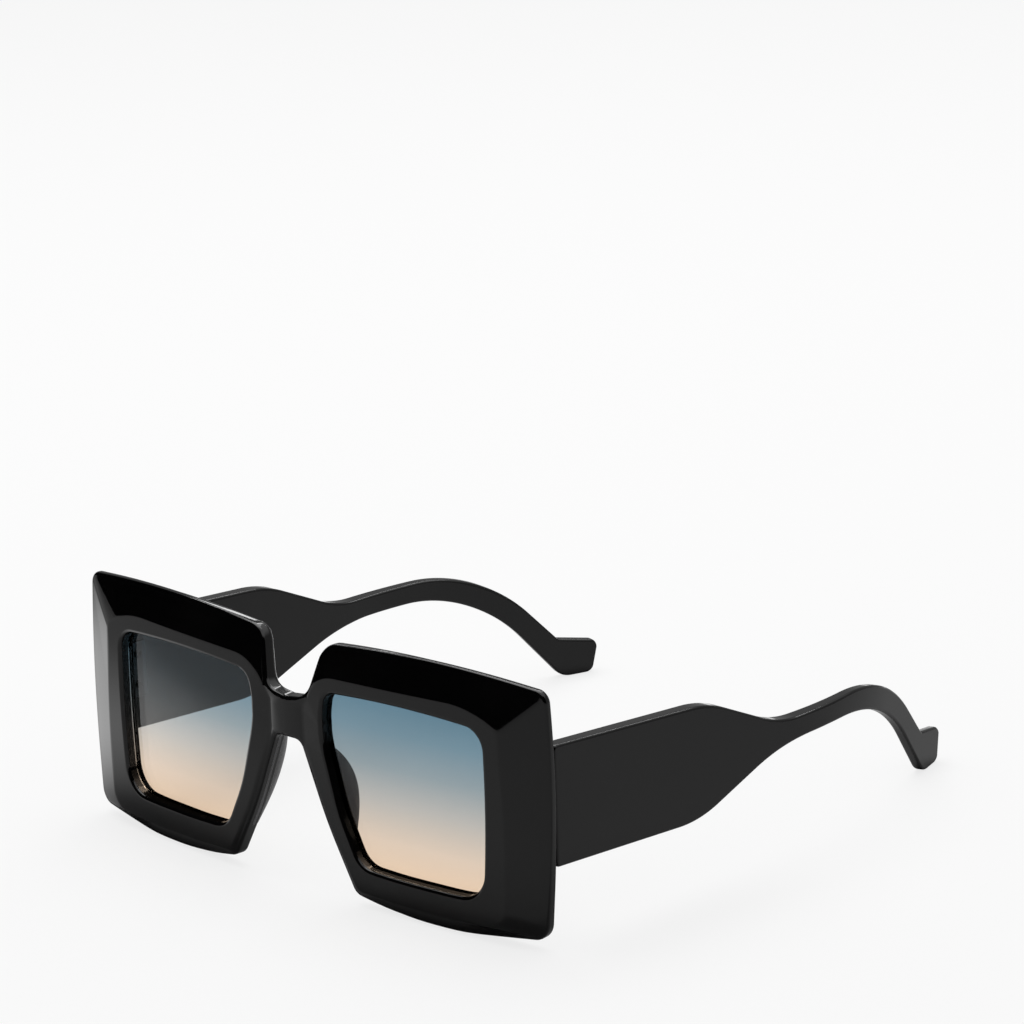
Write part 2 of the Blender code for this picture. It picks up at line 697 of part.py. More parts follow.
def make_front_leaf(name, side, parts, cutters, finish):
    """The front's leaf, let into the back of the front, with the three outer knuckles."""
    frame = leaf_frame(1)
    plate = box_mesh(name, [(frame @ Matrix.Translation((0, -LEAF_THICKNESS / 2, 0)),
                             (FRONT_LEAF_LENGTH, LEAF_THICKNESS, leaf_height()))], side)
    leaf = add_object(name, plate, finish, parts)
    height = KNUCKLE_RADIUS + LEAF_CLEARANCE
    turned = frame @ Matrix.Translation((axis_offset(), height, 0)) @ Matrix.Rotation(-math.pi / 2, 4, "Z")
    knuckles = knuckle_mesh(name + "_knuckles", turned, Vector((0, 0, 0)), height + LEAF_THICKNESS / 2,
                            knuckle_levels((0, 2, 4)), side)
    boolean(leaf, make_cutter(name + "_knuckles", knuckles, cutters), "UNION")
    boolean(leaf, make_bore(name + "_bore", side, front_screw_places(1), cutters))
    return leaf


def make_temple_leaf(name, side, parts, cutters, finish, pivot):
    """The temple's leaf, let into the inner face of the temple, with the two inner knuckles."""
    axis = hinge_axis(1)
    middle = Vector((inner_face() - LEAF_PROUD + LEAF_THICKNESS / 2,
                     temple_leaf_end() - TEMPLE_LEAF_LENGTH / 2, axis.z))
    plate = box_mesh(name, [(Matrix.Translation(middle),
                             (LEAF_THICKNESS, TEMPLE_LEAF_LENGTH, leaf_height()))], side)
    leaf = add_object(name, plate, finish, parts, pivot)
    along_front = Matrix.Translation(axis) @ leaf_frame(1).to_3x3().to_4x4()
    knuckles = knuckle_mesh(name + "_knuckles", along_front, Vector((0, 0, 0)), middle.x - axis.x,
                            knuckle_levels((1, 3)), side)
    boolean(leaf, make_cutter(name + "_knuckles", knuckles, cutters, pivot), "UNION")
    boolean(leaf, make_bore(name + "_bore", side, temple_screw_places(1), cutters, pivot))
    return leaf


def make_bore(name, side, screw_places, cutters, pivot=None):
    """The cutter for a leaf: the bore on the hinge axis and the holes for the small screws."""
    length = stack_height() + 2 * CUT_OVERRUN
    pieces = [(Matrix.Translation(hinge_axis(1)), HINGE_SCREW_RADIUS + RUNNING_GAP, length)]
    for place in screw_places:
        pieces.append((place, LEAF_SCREW_RADIUS + LEAF_SCREW_GAP, 2 * (LEAF_THICKNESS + CUT_OVERRUN)))
    return make_cutter(name, cylinder_mesh(name, pieces, 20, side), cutters, pivot)


def make_hinge_screw(name, side, parts, finish):
    """The screw that the five knuckles turn on."""
    place = Matrix.Translation(hinge_axis(side) + Vector((0, 0, stack_height() / 2 + HEAD_GAP)))
    length = stack_height() + HEAD_GAP
    profile = screw_profile(HINGE_SCREW_RADIUS, length, HEAD_RADIUS)
    return turned_screw(name, profile, place, finish, parts, segments=20)


def bent_share(y):
    """How far the temple's bend has gone at a distance behind its front end: 0 to 1."""
    return min(max((y - TOE_IN_START) / (TOE_IN_END - TOE_IN_START), 0), 1)


def outer_face(y):
    """Distance of the temple's outer face from the middle plane, at a distance behind its front end."""
    start = bend(HALF_WIDTH - TEMPLE_INSET, 0, 0).x
    bend_length = TOE_IN_END - TOE_IN_START
    moved = TOE_IN_SHARE * bent_share(y) ** 2 * bend_length / 2
    return start - moved - TOE_IN_SHARE * max(y - TOE_IN_END, 0)


def thickness_at(y):
    """Thickness of the temple, which thins through the bend."""
    return TEMPLE_THICKNESS + (TIP_THICKNESS - TEMPLE_THICKNESS) * bent_share(y)


def inner_face():
    """Distance of the temple's inner face from the middle plane, at the hinge."""
    return outer_face(0) - TEMPLE_THICKNESS


def temple_front():
    """World Y of the temple's front end at its outer face, just behind the front."""
    return bend(HALF_WIDTH - TEMPLE_INSET, HINGE_HEIGHT, 0).y + TEMPLE_GAP


def temple_point(y, z, depth):
    """World point of the temple: depth is measured inwards from the outer face. Sections lie square to the
    bend, and the front end is cut to the slant and lean of the front's back, which fade out along the temple."""
    fade = max(1 - y / SLANT_LENGTH, 0)
    slant = (HALF_WIDTH - TEMPLE_INSET) / WRAP_RADIUS * fade
    turn = math.atan(TOE_IN_SHARE * bent_share(y))
    inwards = depth * math.cos(turn)
    forwards = depth * (math.sin(turn) + slant) - lean_at(z) * fade
    return Vector((outer_face(y) - inwards, temple_front() + y - forwards, z))


def temple_mesh(name, side):
    """The temple: rounded sections between the top line and the lower line, bent inwards to the tip."""
    before = Vector((0, TEMPLE_TOP / 2))
    after = Vector((TEMPLE_LENGTH, TEMPLE_TOP * 0.1))
    lines = []
    for shares, radii in ((TEMPLE_TOP_SHARES, TEMPLE_TOP_RADII), (TEMPLE_LOWER_SHARES, TEMPLE_LOWER_RADII)):
        points = [before, *scaled(shares, TEMPLE_LENGTH, TEMPLE_TOP), after]
        path, _ = rounded_path(points, [radius * MM for radius in radii], TEMPLE_ARC_STEPS, TEMPLE_EDGE_STEPS)
        lines.append(path)
    vertices = []
    loops = []
    for top, low in zip(*lines):
        down = (low - top).normalized()
        start = len(vertices)
        for line, inwards in ((top, down), (low, -down)):
            corners = ((0, 1), (0.3, 0.3), (1, 0)) if line is top else ((1, 0), (0.3, 0.3), (0, 1))
            near = [(line + inwards * TEMPLE_FILLET * along, TEMPLE_FILLET * deep) for deep, along in corners]
            far = [(point, thickness_at(line.x) - deep) for point, deep in reversed(near)]
            ring = near + far if line is top else far + near
            vertices.extend(temple_point(point.x, point.y, depth) for point, depth in ring)
        loops.append(list(range(start, len(vertices))))
    faces = lofted(loops, [True] * len(loops))
    faces.append(tuple(loops[0][::-1]))
    faces.append(tuple(loops[-1]))
    return mesh_from(name, vertices, faces, side)


def core_path(side, start_y, end_y):
    """Points along the middle of the temple's thickness for the core wire or its bore."""
    shares = CORE_PATH_SHARES
    points = []
    count = 12
    for step in range(count + 1):
        y = start_y + (end_y - start_y) * step / count
        share = min(max(y / TEMPLE_LENGTH, shares[0][0]), shares[-1][0])
        last = next(index for index, entry in enumerate(shares) if entry[0] >= share and index > 0)
        (from_y, from_z), (to_y, to_z) = shares[last - 1], shares[last]
        z = TEMPLE_TOP * (from_z + (to_z - from_z) * (share - from_y) / (to_y - from_y))
        point = temple_point(y, z, thickness_at(y) / 2)
        points.append(Vector((point.x * side, point.y, point.z)))
    return points


def wire_curve(name, points, radius):
    """A round wire along some points, with closed ends."""
    curve = bpy.data.curves.new(name, "CURVE")
    curve.dimensions = "3D"
    curve.bevel_depth = radius
    curve.bevel_resolution = 1
    curve.use_fill_caps = True
    spline = curve.splines.new("POLY")
    spline.points.add(len(points) - 1)
    for place, point in zip(spline.points, points):
        place.co = (*point, 1.0)
    return curve


def curve_as_mesh(name, points, radius):
    """The same wire as a welded mesh."""
    curve = wire_curve(name, points, radius)
    holder = bpy.data.objects.new(name, curve)
    bpy.context.scene.collection.objects.link(holder)
    bpy.context.view_layer.update()
    evaluated = holder.evaluated_get(bpy.context.evaluated_depsgraph_get())
    made = bpy.data.meshes.new_from_object(evaluated)
    bpy.data.objects.remove(holder)
    builder = bmesh.new()
    builder.from_mesh(made)
    bmesh.ops.remove_doubles(builder, verts=builder.verts, dist=0.001 * MM)
    builder.to_mesh(made)
    builder.free()
    return made


def make_temple(name, side, parts, cutters, finish, pivot):
    """A temple with the pocket for its leaf, the bore for its core wire and the blind screw holes."""
    temple = add_object(name, temple_mesh(name, side), finish, parts, pivot)
    axis = hinge_axis(1)
    depth = LEAF_THICKNESS - LEAF_PROUD + SEAT_GAP
    front_y = temple_front() - CUT_OVERRUN
    back_y = temple_leaf_end() + SEAT_GAP
    middle = Vector((inner_face() + (depth - CUT_OVERRUN) / 2, (front_y + back_y) / 2, axis.z))
    size = (depth + CUT_OVERRUN, back_y - front_y, leaf_height() + 2 * SEAT_GAP)
    pocket = box_mesh(name + "_pocket", [(Matrix.Translation(middle), size)], side)
    boolean(temple, make_cutter(name + "_pocket", pocket, cutters, pivot))
    holes = []
    length = LEAF_SCREW_LENGTH + SEAT_GAP
    for place in temple_screw_places(1):
        holes.append((place @ Matrix.Translation((0, 0, -length / 2)), LEAF_SCREW_RADIUS + LEAF_SCREW_GAP, length))
    screw_holes = cylinder_mesh(name + "_holes", holes, 12, side)
    boolean(temple, make_cutter(name + "_holes", screw_holes, cutters, pivot))
    end = CORE_SETBACK + CORE_LENGTH + SEAT_GAP
    bore = curve_as_mesh(name + "_bore", core_path(side, -CUT_OVERRUN, end), CORE_RADIUS + CORE_CLEARANCE)
    boolean(temple, make_cutter(name + "_bore", bore, cutters, pivot))
    return temple


def make_core(name, side, parts, finish, pivot):
    """The metal wire that stiffens the temple."""
    points = core_path(side, CORE_SETBACK, CORE_SETBACK + CORE_LENGTH)
    curve = wire_curve(name, [point - pivot.location for point in points], CORE_RADIUS)
    curve.materials.append(finish)
    wire = bpy.data.objects.new(name, curve)
    parts.objects.link(wire)
    wire.parent = pivot
    return wire


def make_leaf_screws(side_name, side, parts, finish, pivot):
    """Two small screws through each leaf of one hinge."""
    profile = screw_profile(LEAF_SCREW_RADIUS, LEAF_SCREW_LENGTH, LEAF_SCREW_HEAD)
    lift = Matrix.Translation((0, 0, HEAD_GAP))
    for level, place in zip(("lower", "upper"), front_screw_places(side)):
        turned_screw(f"front_leaf_screw_{side_name}_{level}", profile, place @ lift, finish, parts)
    for level, place in zip(("lower", "upper"), temple_screw_places(side)):
        turned_screw(f"temple_leaf_screw_{side_name}_{level}", profile, place @ lift, finish, parts, pivot)


def main():
    for leftover in list(bpy.data.objects):
        bpy.data.objects.remove(leftover)
    parts = collection("sunglasses")
    cutters = collection("cutters")
    black = material("gloss_black", (0.006, 0.006, 0.007), 0.12)
    smoke = material("gradient_lens", (0.35, 0.42, 0.46), 0.05, alpha=0.55)
    steel = material("hinge_steel", (0.62, 0.62, 0.64), 0.28, metallic=1.0)
    make_front(parts, cutters, black)
    for side_name, side in SIDES.items():
        pivot = bpy.data.objects.new(f"hinge_axis_{side_name}", None)
        pivot.location = hinge_axis(side)
        parts.objects.link(pivot)
        make_lens(f"lens_{side_name}", side, parts, smoke)
        make_nose_pad(f"nose_pad_{side_name}", side, parts, black)
        make_front_leaf(f"hinge_front_leaf_{side_name}", side, parts, cutters, steel)
        make_temple_leaf(f"hinge_temple_leaf_{side_name}", side, parts, cutters, steel, pivot)
        make_hinge_screw(f"hinge_screw_{side_name}", side, parts, steel)
        make_temple(f"temple_{side_name}", side, parts, cutters, black, pivot)
        make_core(f"temple_core_{side_name}", side, parts, steel, pivot)
        make_leaf_screws(side_name, side, parts, steel, pivot)
        print("hinge axis", side_name, [round(value / MM, 3) for value in hinge_axis(side)], "mm")


main()
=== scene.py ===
import math

import bmesh
import bpy
from mathutils import Matrix, Vector


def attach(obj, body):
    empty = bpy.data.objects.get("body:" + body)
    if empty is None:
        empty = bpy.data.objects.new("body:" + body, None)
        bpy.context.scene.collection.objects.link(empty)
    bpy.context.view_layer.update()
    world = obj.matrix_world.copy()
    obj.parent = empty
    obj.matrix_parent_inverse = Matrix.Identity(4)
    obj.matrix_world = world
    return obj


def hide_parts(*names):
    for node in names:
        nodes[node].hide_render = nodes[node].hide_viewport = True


mm = 0.001
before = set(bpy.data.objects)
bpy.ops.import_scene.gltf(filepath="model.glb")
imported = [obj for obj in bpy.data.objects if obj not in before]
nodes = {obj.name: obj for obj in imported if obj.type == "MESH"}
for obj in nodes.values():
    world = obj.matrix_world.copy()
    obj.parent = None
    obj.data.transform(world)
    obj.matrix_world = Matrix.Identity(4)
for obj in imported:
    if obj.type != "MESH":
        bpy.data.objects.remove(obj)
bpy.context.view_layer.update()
sides = {"left": 1, "right": -1}
print("frame loaded with", len(nodes), "nodes")


# one output socket; Python's signs on it add Math nodes
class Pin:
    def __init__(self, board, socket):
        self.board = board
        self.socket = socket

    def math(self, operation, *others):
        return self.board.add("Math", dict(enumerate((self, *others))), {"operation": operation})

    def clamped(self, low, high):
        return self.math("MAXIMUM", low).math("MINIMUM", high)

    def other(self, name):
        return Pin(self.board, self.socket.node.outputs[name])

    def __add__(self, other):
        return self.math("ADD", other)

    def __mul__(self, other):
        return self.math("MULTIPLY", other)

    def __sub__(self, other):
        return self.math("SUBTRACT", other)

    def __rsub__(self, other):
        return self.board.add("Math", {0: other, 1: self}, {"operation": "SUBTRACT"})

    def __truediv__(self, other):
        return self.math("DIVIDE", other)

    __radd__ = __add__
    __rmul__ = __mul__


# a node tree that is filled from Python
class Board:
    def __init__(self, tree):
        self.tree = tree
        tree.nodes.clear()

    def put(self, value, spot):
        if isinstance(value, Pin):
            self.tree.links.new(value.socket, spot)
        else:
            spot.default_value = value

    def add(self, kind, values=None, settings=None, out=0):
        node = self.tree.nodes.new(kind if kind.startswith("Geometry") else "ShaderNode" + kind)
        for name, value in (settings or {}).items():
            if name == "stops":
                self.setStops(node.color_ramp, value)
            else:
                setattr(node, name, value)
        for name, value in (values or {}).items():
            self.put(value, node.inputs[name])
        return Pin(self, node.outputs[out]) if node.outputs else node

    def setStops(self, ramp, stops):
        while len(ramp.elements) < len(stops):
            ramp.elements.new(1.0)
        for element, (place, colour) in zip(ramp.elements, stops):
            element.position = place
            element.color = (*colour, 1.0)

    def vector(self, operation, *values, out=0):
        return self.add("VectorMath", dict(enumerate(values)), {"operation": operation}, out)

    def noise(self, place, scale, detail=1.0, roughness=0.5):
        return self.add("TexNoise", {
            "Vector": place, "Scale": scale, "Detail": detail, "Roughness": roughness})

    def objectPlace(self):
        return self.add("TexCoord").other("Object")

    def parts(self, vector):
        return self.add("SeparateXYZ", {"Vector": vector})

    def combined(self, *parts):
        return self.add("CombineXYZ", dict(enumerate(parts)))

    def shade(self, values):
        self.add("OutputMaterial", {"Surface": self.add("BsdfPrincipled", values)})

    def mixColour(self, share, first, second):
        return self.add("Mix", {0: share, 6: first, 7: second}, {"data_type": "RGBA"}, out=2)

    def smooth(self, value, low, high):
        return self.add("MapRange", {"Value": value, "From Min": low, "From Max": high},
                        {"interpolation_type": "SMOOTHSTEP"})

    def groupInputs(self, entries):
        # each name has a kind of socket, or the size that it starts from
        for name, value in entries.items():
            kind = value if isinstance(value, str) else "Int" if isinstance(value, int) else "Float"
            socket = self.tree.interface.new_socket(name, in_out="INPUT", socket_type="NodeSocket" + kind)
            if kind != value:
                socket.default_value = value
        node = self.tree.nodes.new("NodeGroupInput")
        return {name: Pin(self, node.outputs[name]) for name in entries}

    def groupOutput(self, geometry, finish):
        solid = self.add("GeometryNodeRealizeInstances", {"Geometry": geometry})
        dressed = self.add("GeometryNodeSetMaterial", {"Geometry": solid, "Material": finish})
        self.tree.interface.new_socket("Geometry", in_out="OUTPUT", socket_type="NodeSocketGeometry")
        self.put(dressed, self.tree.nodes.new("NodeGroupOutput").inputs[0])


# finishes

acetateLook = {
    "colour": (0.0009, 0.0009, 0.0010, 1.0),
    "sheenColour": (0.0018, 0.0017, 0.0018, 1.0),
    "roughness": 0.045,
    "smudge": 0.04,
    "cloudScale": 38.0,
    "cloudRange": (0.35, 0.7),
    "swirlScale": 55.0,
    "hairlines": {"Scale": (160.0, 900.0, 2600.0), "Rotation": (0.0, 0.35, 0.2)},
    "scratchRange": (0.66, 0.74),
    "scratchRoughness": 0.05,
    "scratchShare": 0.1,
    "waves": {"Strength": 0.5, "Distance": 0.012 * mm},
    "index": 1.5,
}
padLook = {
    **acetateLook,
    "colour": (0.040, 0.039, 0.041, 1.0),
    "sheenColour": (0.060, 0.058, 0.061, 1.0),
    "roughness": 0.24,
}
lensLook = {
    "stops": [
        (0.00, (0.936, 0.696, 0.493)),
        (0.20, (0.825, 0.669, 0.532)),
        (0.42, (0.542, 0.523, 0.488)),
        (0.62, (0.305, 0.374, 0.403)),
        (0.82, (0.178, 0.287, 0.354)),
        (1.00, (0.113, 0.222, 0.297)),
    ],
    "driftScale": 30.0,
    "driftShare": 0.02,
    "hazeScale": 220.0,
    "hazeRange": (0.6, 0.9),
    "hazeRoughness": 0.015,
    "index": 1.49,
}
steelLook = {
    "colour": (0.075, 0.075, 0.080, 1.0),
    "sheenColour": (0.13, 0.13, 0.13, 1.0),
    "drawn": {"Scale": (4200.0, 4200.0, 260.0)},
    "patchScale": 420.0,
    "roughness": 0.22,
    "lineRoughness": 0.16,
    "patchRoughness": 0.05,
    "lines": {"Strength": 0.25, "Distance": 0.006 * mm},
}


def makeAcetate(name, look):
    # black acetate: faint cloudiness, buffing waves and hairlines
    board, finish = newMaterial(name)
    place = board.objectPlace()
    cloud = board.noise(place, look["cloudScale"], 3.0)
    swirl = board.noise(place, look["swirlScale"], 2.0, 0.4)
    stretched = board.add("Mapping", {"Vector": place, **look["hairlines"]})
    scratch = board.smooth(board.noise(stretched, 1.0), *look["scratchRange"])
    colour = board.mixColour(board.smooth(cloud, *look["cloudRange"]), look["colour"], look["sheenColour"])
    roughness = look["roughness"] + cloud * look["smudge"] + scratch * look["scratchRoughness"]
    relief = board.add("Bump", {**look["waves"], "Height": swirl + scratch * look["scratchShare"]})
    board.shade({"Base Color": colour, "Roughness": roughness, "Normal": relief, "IOR": look["index"]})
    return finish


def makeGradientLens(name, low, high):
    # tinted lens that fades from blue-grey at the top to pale peach at the bottom
    board, finish = newMaterial(name)
    place = board.objectPlace()
    drift = (board.noise(place, lensLook["driftScale"]) - 0.5) * lensLook["driftShare"]
    share = (board.parts(place).other("Z") - low) / (high - low) + drift
    tint = board.add("ValToRGB", {"Fac": share}, {"stops": lensLook["stops"]})
    haze = board.smooth(board.noise(place, lensLook["hazeScale"], 2.0), *lensLook["hazeRange"])
    board.shade({"Base Color": tint, "Roughness": haze * lensLook["hazeRoughness"], "IOR": lensLook["index"],
                 "Transmission Weight": 1.0})
    return finish


def makeHingeSteel(name):
    # drawn satin metal with fine lines along its height and duller patches
    board, finish = newMaterial(name)
    place = board.objectPlace()
    drawn = board.add("Mapping", {"Vector": place, **steelLook["drawn"]})
    lines = board.noise(drawn, 1.0, 3.0)
    patches = board.noise(place, steelLook["patchScale"], 2.0)
    roughness = (steelLook["roughness"] + lines * steelLook["lineRoughness"]
                 + patches * steelLook["patchRoughness"])
    relief = board.add("Bump", {**steelLook["lines"], "Height": lines})
    board.shade({"Base Color": board.mixColour(patches, steelLook["colour"], steelLook["sheenColour"]),
                 "Roughness": roughness, "Normal": relief, "Metallic": 1.0})
    return finish


def newMaterial(name):
    finish = bpy.data.materials.new(name)
    finish.use_nodes = True
    return Board(finish.node_tree), finish


# lines and lofts

def roundedPath(points, radii, arcSteps, edgeSteps):
    # a polyline with its inner corners rounded, and the index of each arc's middle
    path = []
    marks = []
    for index, (radius, steps) in enumerate(zip(radii, arcSteps)):
        before, corner, after = points[index:index + 3]
        toBefore = (before - corner).normalized()
        toAfter = (after - corner).normalized()
        half = toBefore.angle(toAfter) / 2
        start = corner + toBefore * radius * mm / math.tan(half)
        centre = corner + (toBefore + toAfter).normalized() * radius * mm / math.sin(half)
        turn = math.pi - 2 * half
        if toBefore.cross(toAfter) > 0:
            turn = -turn
        last = path[-1] if path else points[0]
        count = edgeSteps[index]
        if path or count > 1:
            path.extend(last.lerp(start, step / count) for step in range(0 if not path else 1, count))
        marks.append(len(path) + steps // 2)
        for step in range(steps + 1):
            path.append(centre + Matrix.Rotation(turn * step / steps, 2) @ (start - centre))
    last = path[-1]
    path.extend(last.lerp(points[-1], step / edgeSteps[-1]) for step in range(1, edgeSteps[-1] + 1))
    return path, marks


def lengthsAlong(path):
    lengths = [0.0]
    for before, after in zip(path, path[1:]):
        lengths.append(lengths[-1] + (after - before).length)
    return lengths


def spreadValues(path, marks, values):
    # a value for each point, running straight from one mark to the next
    lengths = lengthsAlong(path)
    spread = []
    for index, length in enumerate(lengths):
        stretch = max(place for place, mark in enumerate(marks[:-1]) if mark <= index)
        first, last = lengths[marks[stretch]], lengths[marks[stretch + 1]]
        share = (length - first) / (last - first)
        spread.append(values[stretch] + (values[stretch + 1] - values[stretch]) * share)
    return spread


def offsetPath(path, distances, closed=False):
    # each point moved to the right of its path; the ends of an open path only move up or down
    if not isinstance(distances, list):
        distances = [distances] * len(path)
    moved = []
    for index, (point, distance) in enumerate(zip(path, distances)):
        along = (path[(index + 1) % len(path)] - path[index - 1]).normalized()
        aside = Vector((along.y, -along.x))
        if not closed and index == 0:
            aside = Vector((0, -1))
        if not closed and index == len(path) - 1:
            aside = Vector((0, 1))
        moved.append(point + aside * distance)
    return moved


def loftFaces(loops, closed):
    faces = []
    for (inner, outer), around in zip(zip(loops, loops[1:]), closed):
        count = len(inner) if around else min(len(inner), len(outer)) - 1
        for index in range(count):
            after = (index + 1) % len(inner)
            faces.append((inner[index], inner[after], outer[after], outer[index]))
    return faces


def addRing(vertices, loops, points):
    start = len(vertices)
    vertices.extend(points)
    loops.append(list(range(start, len(vertices))))


def raised(points, heights):
    return [Vector((point.x, point.y, height)) for point, height in zip(points, heights)]


def meshFrom(name, vertices, faces, side=1):
    made = bpy.data.meshes.new(name)
    turned = faces if side > 0 else [face[::-1] for face in faces]
    made.from_pydata([(x * side, y, z) for x, y, z in vertices], [], turned)
    return made


def linked(name, data):
    made = bpy.data.objects.new(name, data)
    bpy.context.scene.collection.objects.link(made)
    return made


def addPiece(name, mesh, finish):
    piece = linked(name, mesh)
    mesh.materials.clear()
    mesh.materials.append(finish)
    return piece


def settle(piece):
    # turn a piece's modifiers into plain mesh
    bpy.context.view_layer.update()
    grown = bpy.data.meshes.new_from_object(piece.evaluated_get(bpy.context.evaluated_depsgraph_get()))
    piece.modifiers.clear()
    piece.data = grown


def cut(piece, cutterMesh):
    cutter = linked("cutter", cutterMesh)
    knife = piece.modifiers.new("knife", "BOOLEAN")
    knife.object = cutter
    knife.solver = "EXACT"
    knife.use_self = True
    settle(piece)
    bpy.data.objects.remove(cutter)


def smoothFaces(piece, sharpAngle=40.0):
    piece.data.shade_smooth()
    piece.data.set_sharp_from_angle(angle=math.radians(sharpAngle))
    weigh = piece.modifiers.new("weigh", "WEIGHTED_NORMAL")
    weigh.keep_sharp = True
    weigh.weight = 100
    settle(piece)


def cappedPiece(name, rings, side, finish, sharpAngle=40.0):
    # a closed piece from rings of points
    vertices, loops = [], []
    for ring in rings:
        addRing(vertices, loops, ring)
    faces = loftFaces(loops, [True] * len(loops))
    faces += [tuple(reversed(loops[0])), tuple(loops[-1])]
    piece = addPiece(name, meshFrom(name, vertices, faces, side), finish)
    smoothFaces(piece, sharpAngle)
    return piece


def boxMesh(name, boxes, softEdge=0.0, side=1):
    builder = bmesh.new()
    for placement, sizes in boxes:
        bmesh.ops.create_cube(builder, size=1.0, matrix=placement @ Matrix.Diagonal((*sizes, 1.0)))
    if softEdge:
        bmesh.ops.bevel(builder, geom=builder.edges[:], offset=softEdge, segments=3, profile=0.5,
                        affect="EDGES")
    return closeMesh(name, builder, side)


def closeMesh(name, builder, side=1):
    if side < 0:
        bmesh.ops.scale(builder, vec=(-1, 1, 1), verts=builder.verts)
        bmesh.ops.reverse_faces(builder, faces=builder.faces)
    if builder.calc_volume(signed=True) < 0:
        bmesh.ops.reverse_faces(builder, faces=builder.faces)
    made = bpy.data.meshes.new(name)
    builder.to_mesh(made)
    builder.free()
    return made


def joined(name, meshes, finish, weld=0.0):
    builder = bmesh.new()
    for mesh in meshes:
        builder.from_mesh(mesh)
    if weld:
        bmesh.ops.remove_doubles(builder, verts=builder.verts, dist=weld)
    made = bpy.data.meshes.new(name)
    builder.to_mesh(made)
    builder.free()
    piece = addPiece(name, made, finish)
    for polygon in made.polygons:
        polygon.material_index = 0
    return piece


def growMesh(name, tree, base, values):
    # run a geometry tree on a base mesh and keep the result as plain mesh
    seed = linked(name, base)
    grower = seed.modifiers.new("grow", "NODES")
    grower.node_group = tree
    for item in tree.interface.items_tree:
        if item.in_out == "INPUT" and item.name in values:
            grower[item.identifier] = values[item.name]
    settle(seed)
    grown = seed.data
    bpy.data.objects.remove(seed)
    grown.name = name
    return grown


# the front

opening = {
    "width": 46.0 * mm,
    "height": 40.0 * mm,
    "gap": 22.4 * mm,
    "startShare": (0.002, 0.790),
    "cornerShares": ((0.0, 0.830), (0.024, 0.977), (0.520, 1.014), (1.010, 0.976), (1.019, 0.510),
                     (0.991, 0.038), (0.800, 0.028), (0.450, 0.026), (0.224, 0.036), (0.096, 0.328),
                     (0.008, 0.680)),
    "endShare": (0.002, 0.740),
    "radii": (12.0, 3.8, 251, 5.0, 250, 6.5, 100, 150, 6.0, 40, 25),
    "frontFillet": 0.85 * mm,
    "frontTurns": (0, 22, 45, 68, 90),
    "backFillet": 0.3 * mm,
    "backTurns": (90, 60, 30, 0),
    "grooveBack": 0.35 * mm,
    "grooveFront": 2.6 * mm,
    "grooveDepth": 1.05 * mm,
}
rim = {
    "side": 16.4 * mm,
    "top": 10.7 * mm,
    "bottom": 7.7 * mm,
    "bridgeThickness": 4.4 * mm,
    "ringThickness": 4.9 * mm,
    "creaseDrop": 0.45 * mm,
    "hornEdge": 1.4 * mm,
    "topEdge": 1.3 * mm,
    "shoulderEdge": 1.9 * mm,
    "sideEdge": 2.2 * mm,
    "edge": 2.6 * mm,
    "bottomEdge": 3.4 * mm,
    "footEdge": 4.0 * mm,
    "scoop": 0.7 * mm,
    "hornSwell": 2.2 * mm,
    "edgeFillet": 0.8 * mm,
    "ridgeFillet": 0.4 * mm,
    "ridgeRound": 0.55 * mm,
    "inwardsShare": 0.3,
    "outwardsShare": 0.45,
    "ridgePlaces": (-1, 0, 0.2, 0.4, 0.6, 0.8, 1.0, 1.06, 1.28, 1.5, 1.72, 1.94),
    "edgeTurns": (18, 36, 54, 72, 90),
    "backShares": (0.12, 0.5, 0.9),
    "weld": 0.01 * mm,
    "backFillet": 0.6 * mm,
    "noseFillet": 1.5 * mm,
    "ringSide": 6.4 * mm,
    "ringTop": 3.9 * mm,
    "ringBottom": 4.0 * mm,
    "bridgeFlat": 10.6 * mm,
    "notchShift": (0.64 * mm, 0.68 * mm),
    "noseShift": (-1.08 * mm, -1.0 * mm),
    "topShare": 0.937,
    "topRise": 0.16 * mm,
    "cornerShift": (-1.36 * mm, -4.08 * mm),
    "lowInset": 0.8 * mm,
    "lowShares": (0.8, 0.45),
    "startShare": (0.0, 0.748),
    "cornerShares": ((0.084, 0.760), (0.130, 0.970), (0.553, 1.020), (0.989, 0.974), (1.011, 0.565),
                     (0.977, 0.040), (0.675, 0.0), (0.437, 0.0), (0.262, 0.042), (0.150, 0.295),
                     (0.053, 0.585)),
    "endShare": (0.0, 0.588),
    "radii": (4.5, 5.5, 290, 3.0, 270, 4.0, 100, 100, 3.4, 100, 2.8),
    "ridgeRadii": (1.5, 10, 24, 2.2, 200, 5.0, 60, 60, 3.0, 60, 1.5),
    "arcSteps": (10, 12, 16, 14, 14, 14, 8, 8, 12, 8, 10),
    "edgeSteps": (3, 5, 4, 4, 4, 4, 4, 4, 3, 4, 4, 3),
    "planeSteps": 6,
    "support": 0.14 * mm,
}
wrap = {"radius": 520 * mm, "leanShare": 0.017, "leanHeight": 32 * mm, "templeLength": 141.4 * mm}

halfWidth = opening["gap"] / 2 + opening["width"] + rim["side"]
frontHeight = rim["bottom"] + opening["height"] + rim["top"]
overallDepth = rim["bridgeThickness"] + halfWidth ** 2 / wrap["radius"] / 2 + wrap["templeLength"]
backY = rim["bridgeThickness"] - overallDepth / 2


def bend(u, v, w):
    # u across, v up and w out of the back, wrapped round the face and leaning back
    angle = u / wrap["radius"]
    reach = wrap["radius"] + w
    lean = wrap["leanShare"] * (v - wrap["leanHeight"])
    return Vector((reach * math.sin(angle), backY + wrap["radius"] - reach * math.cos(angle) + lean, v))


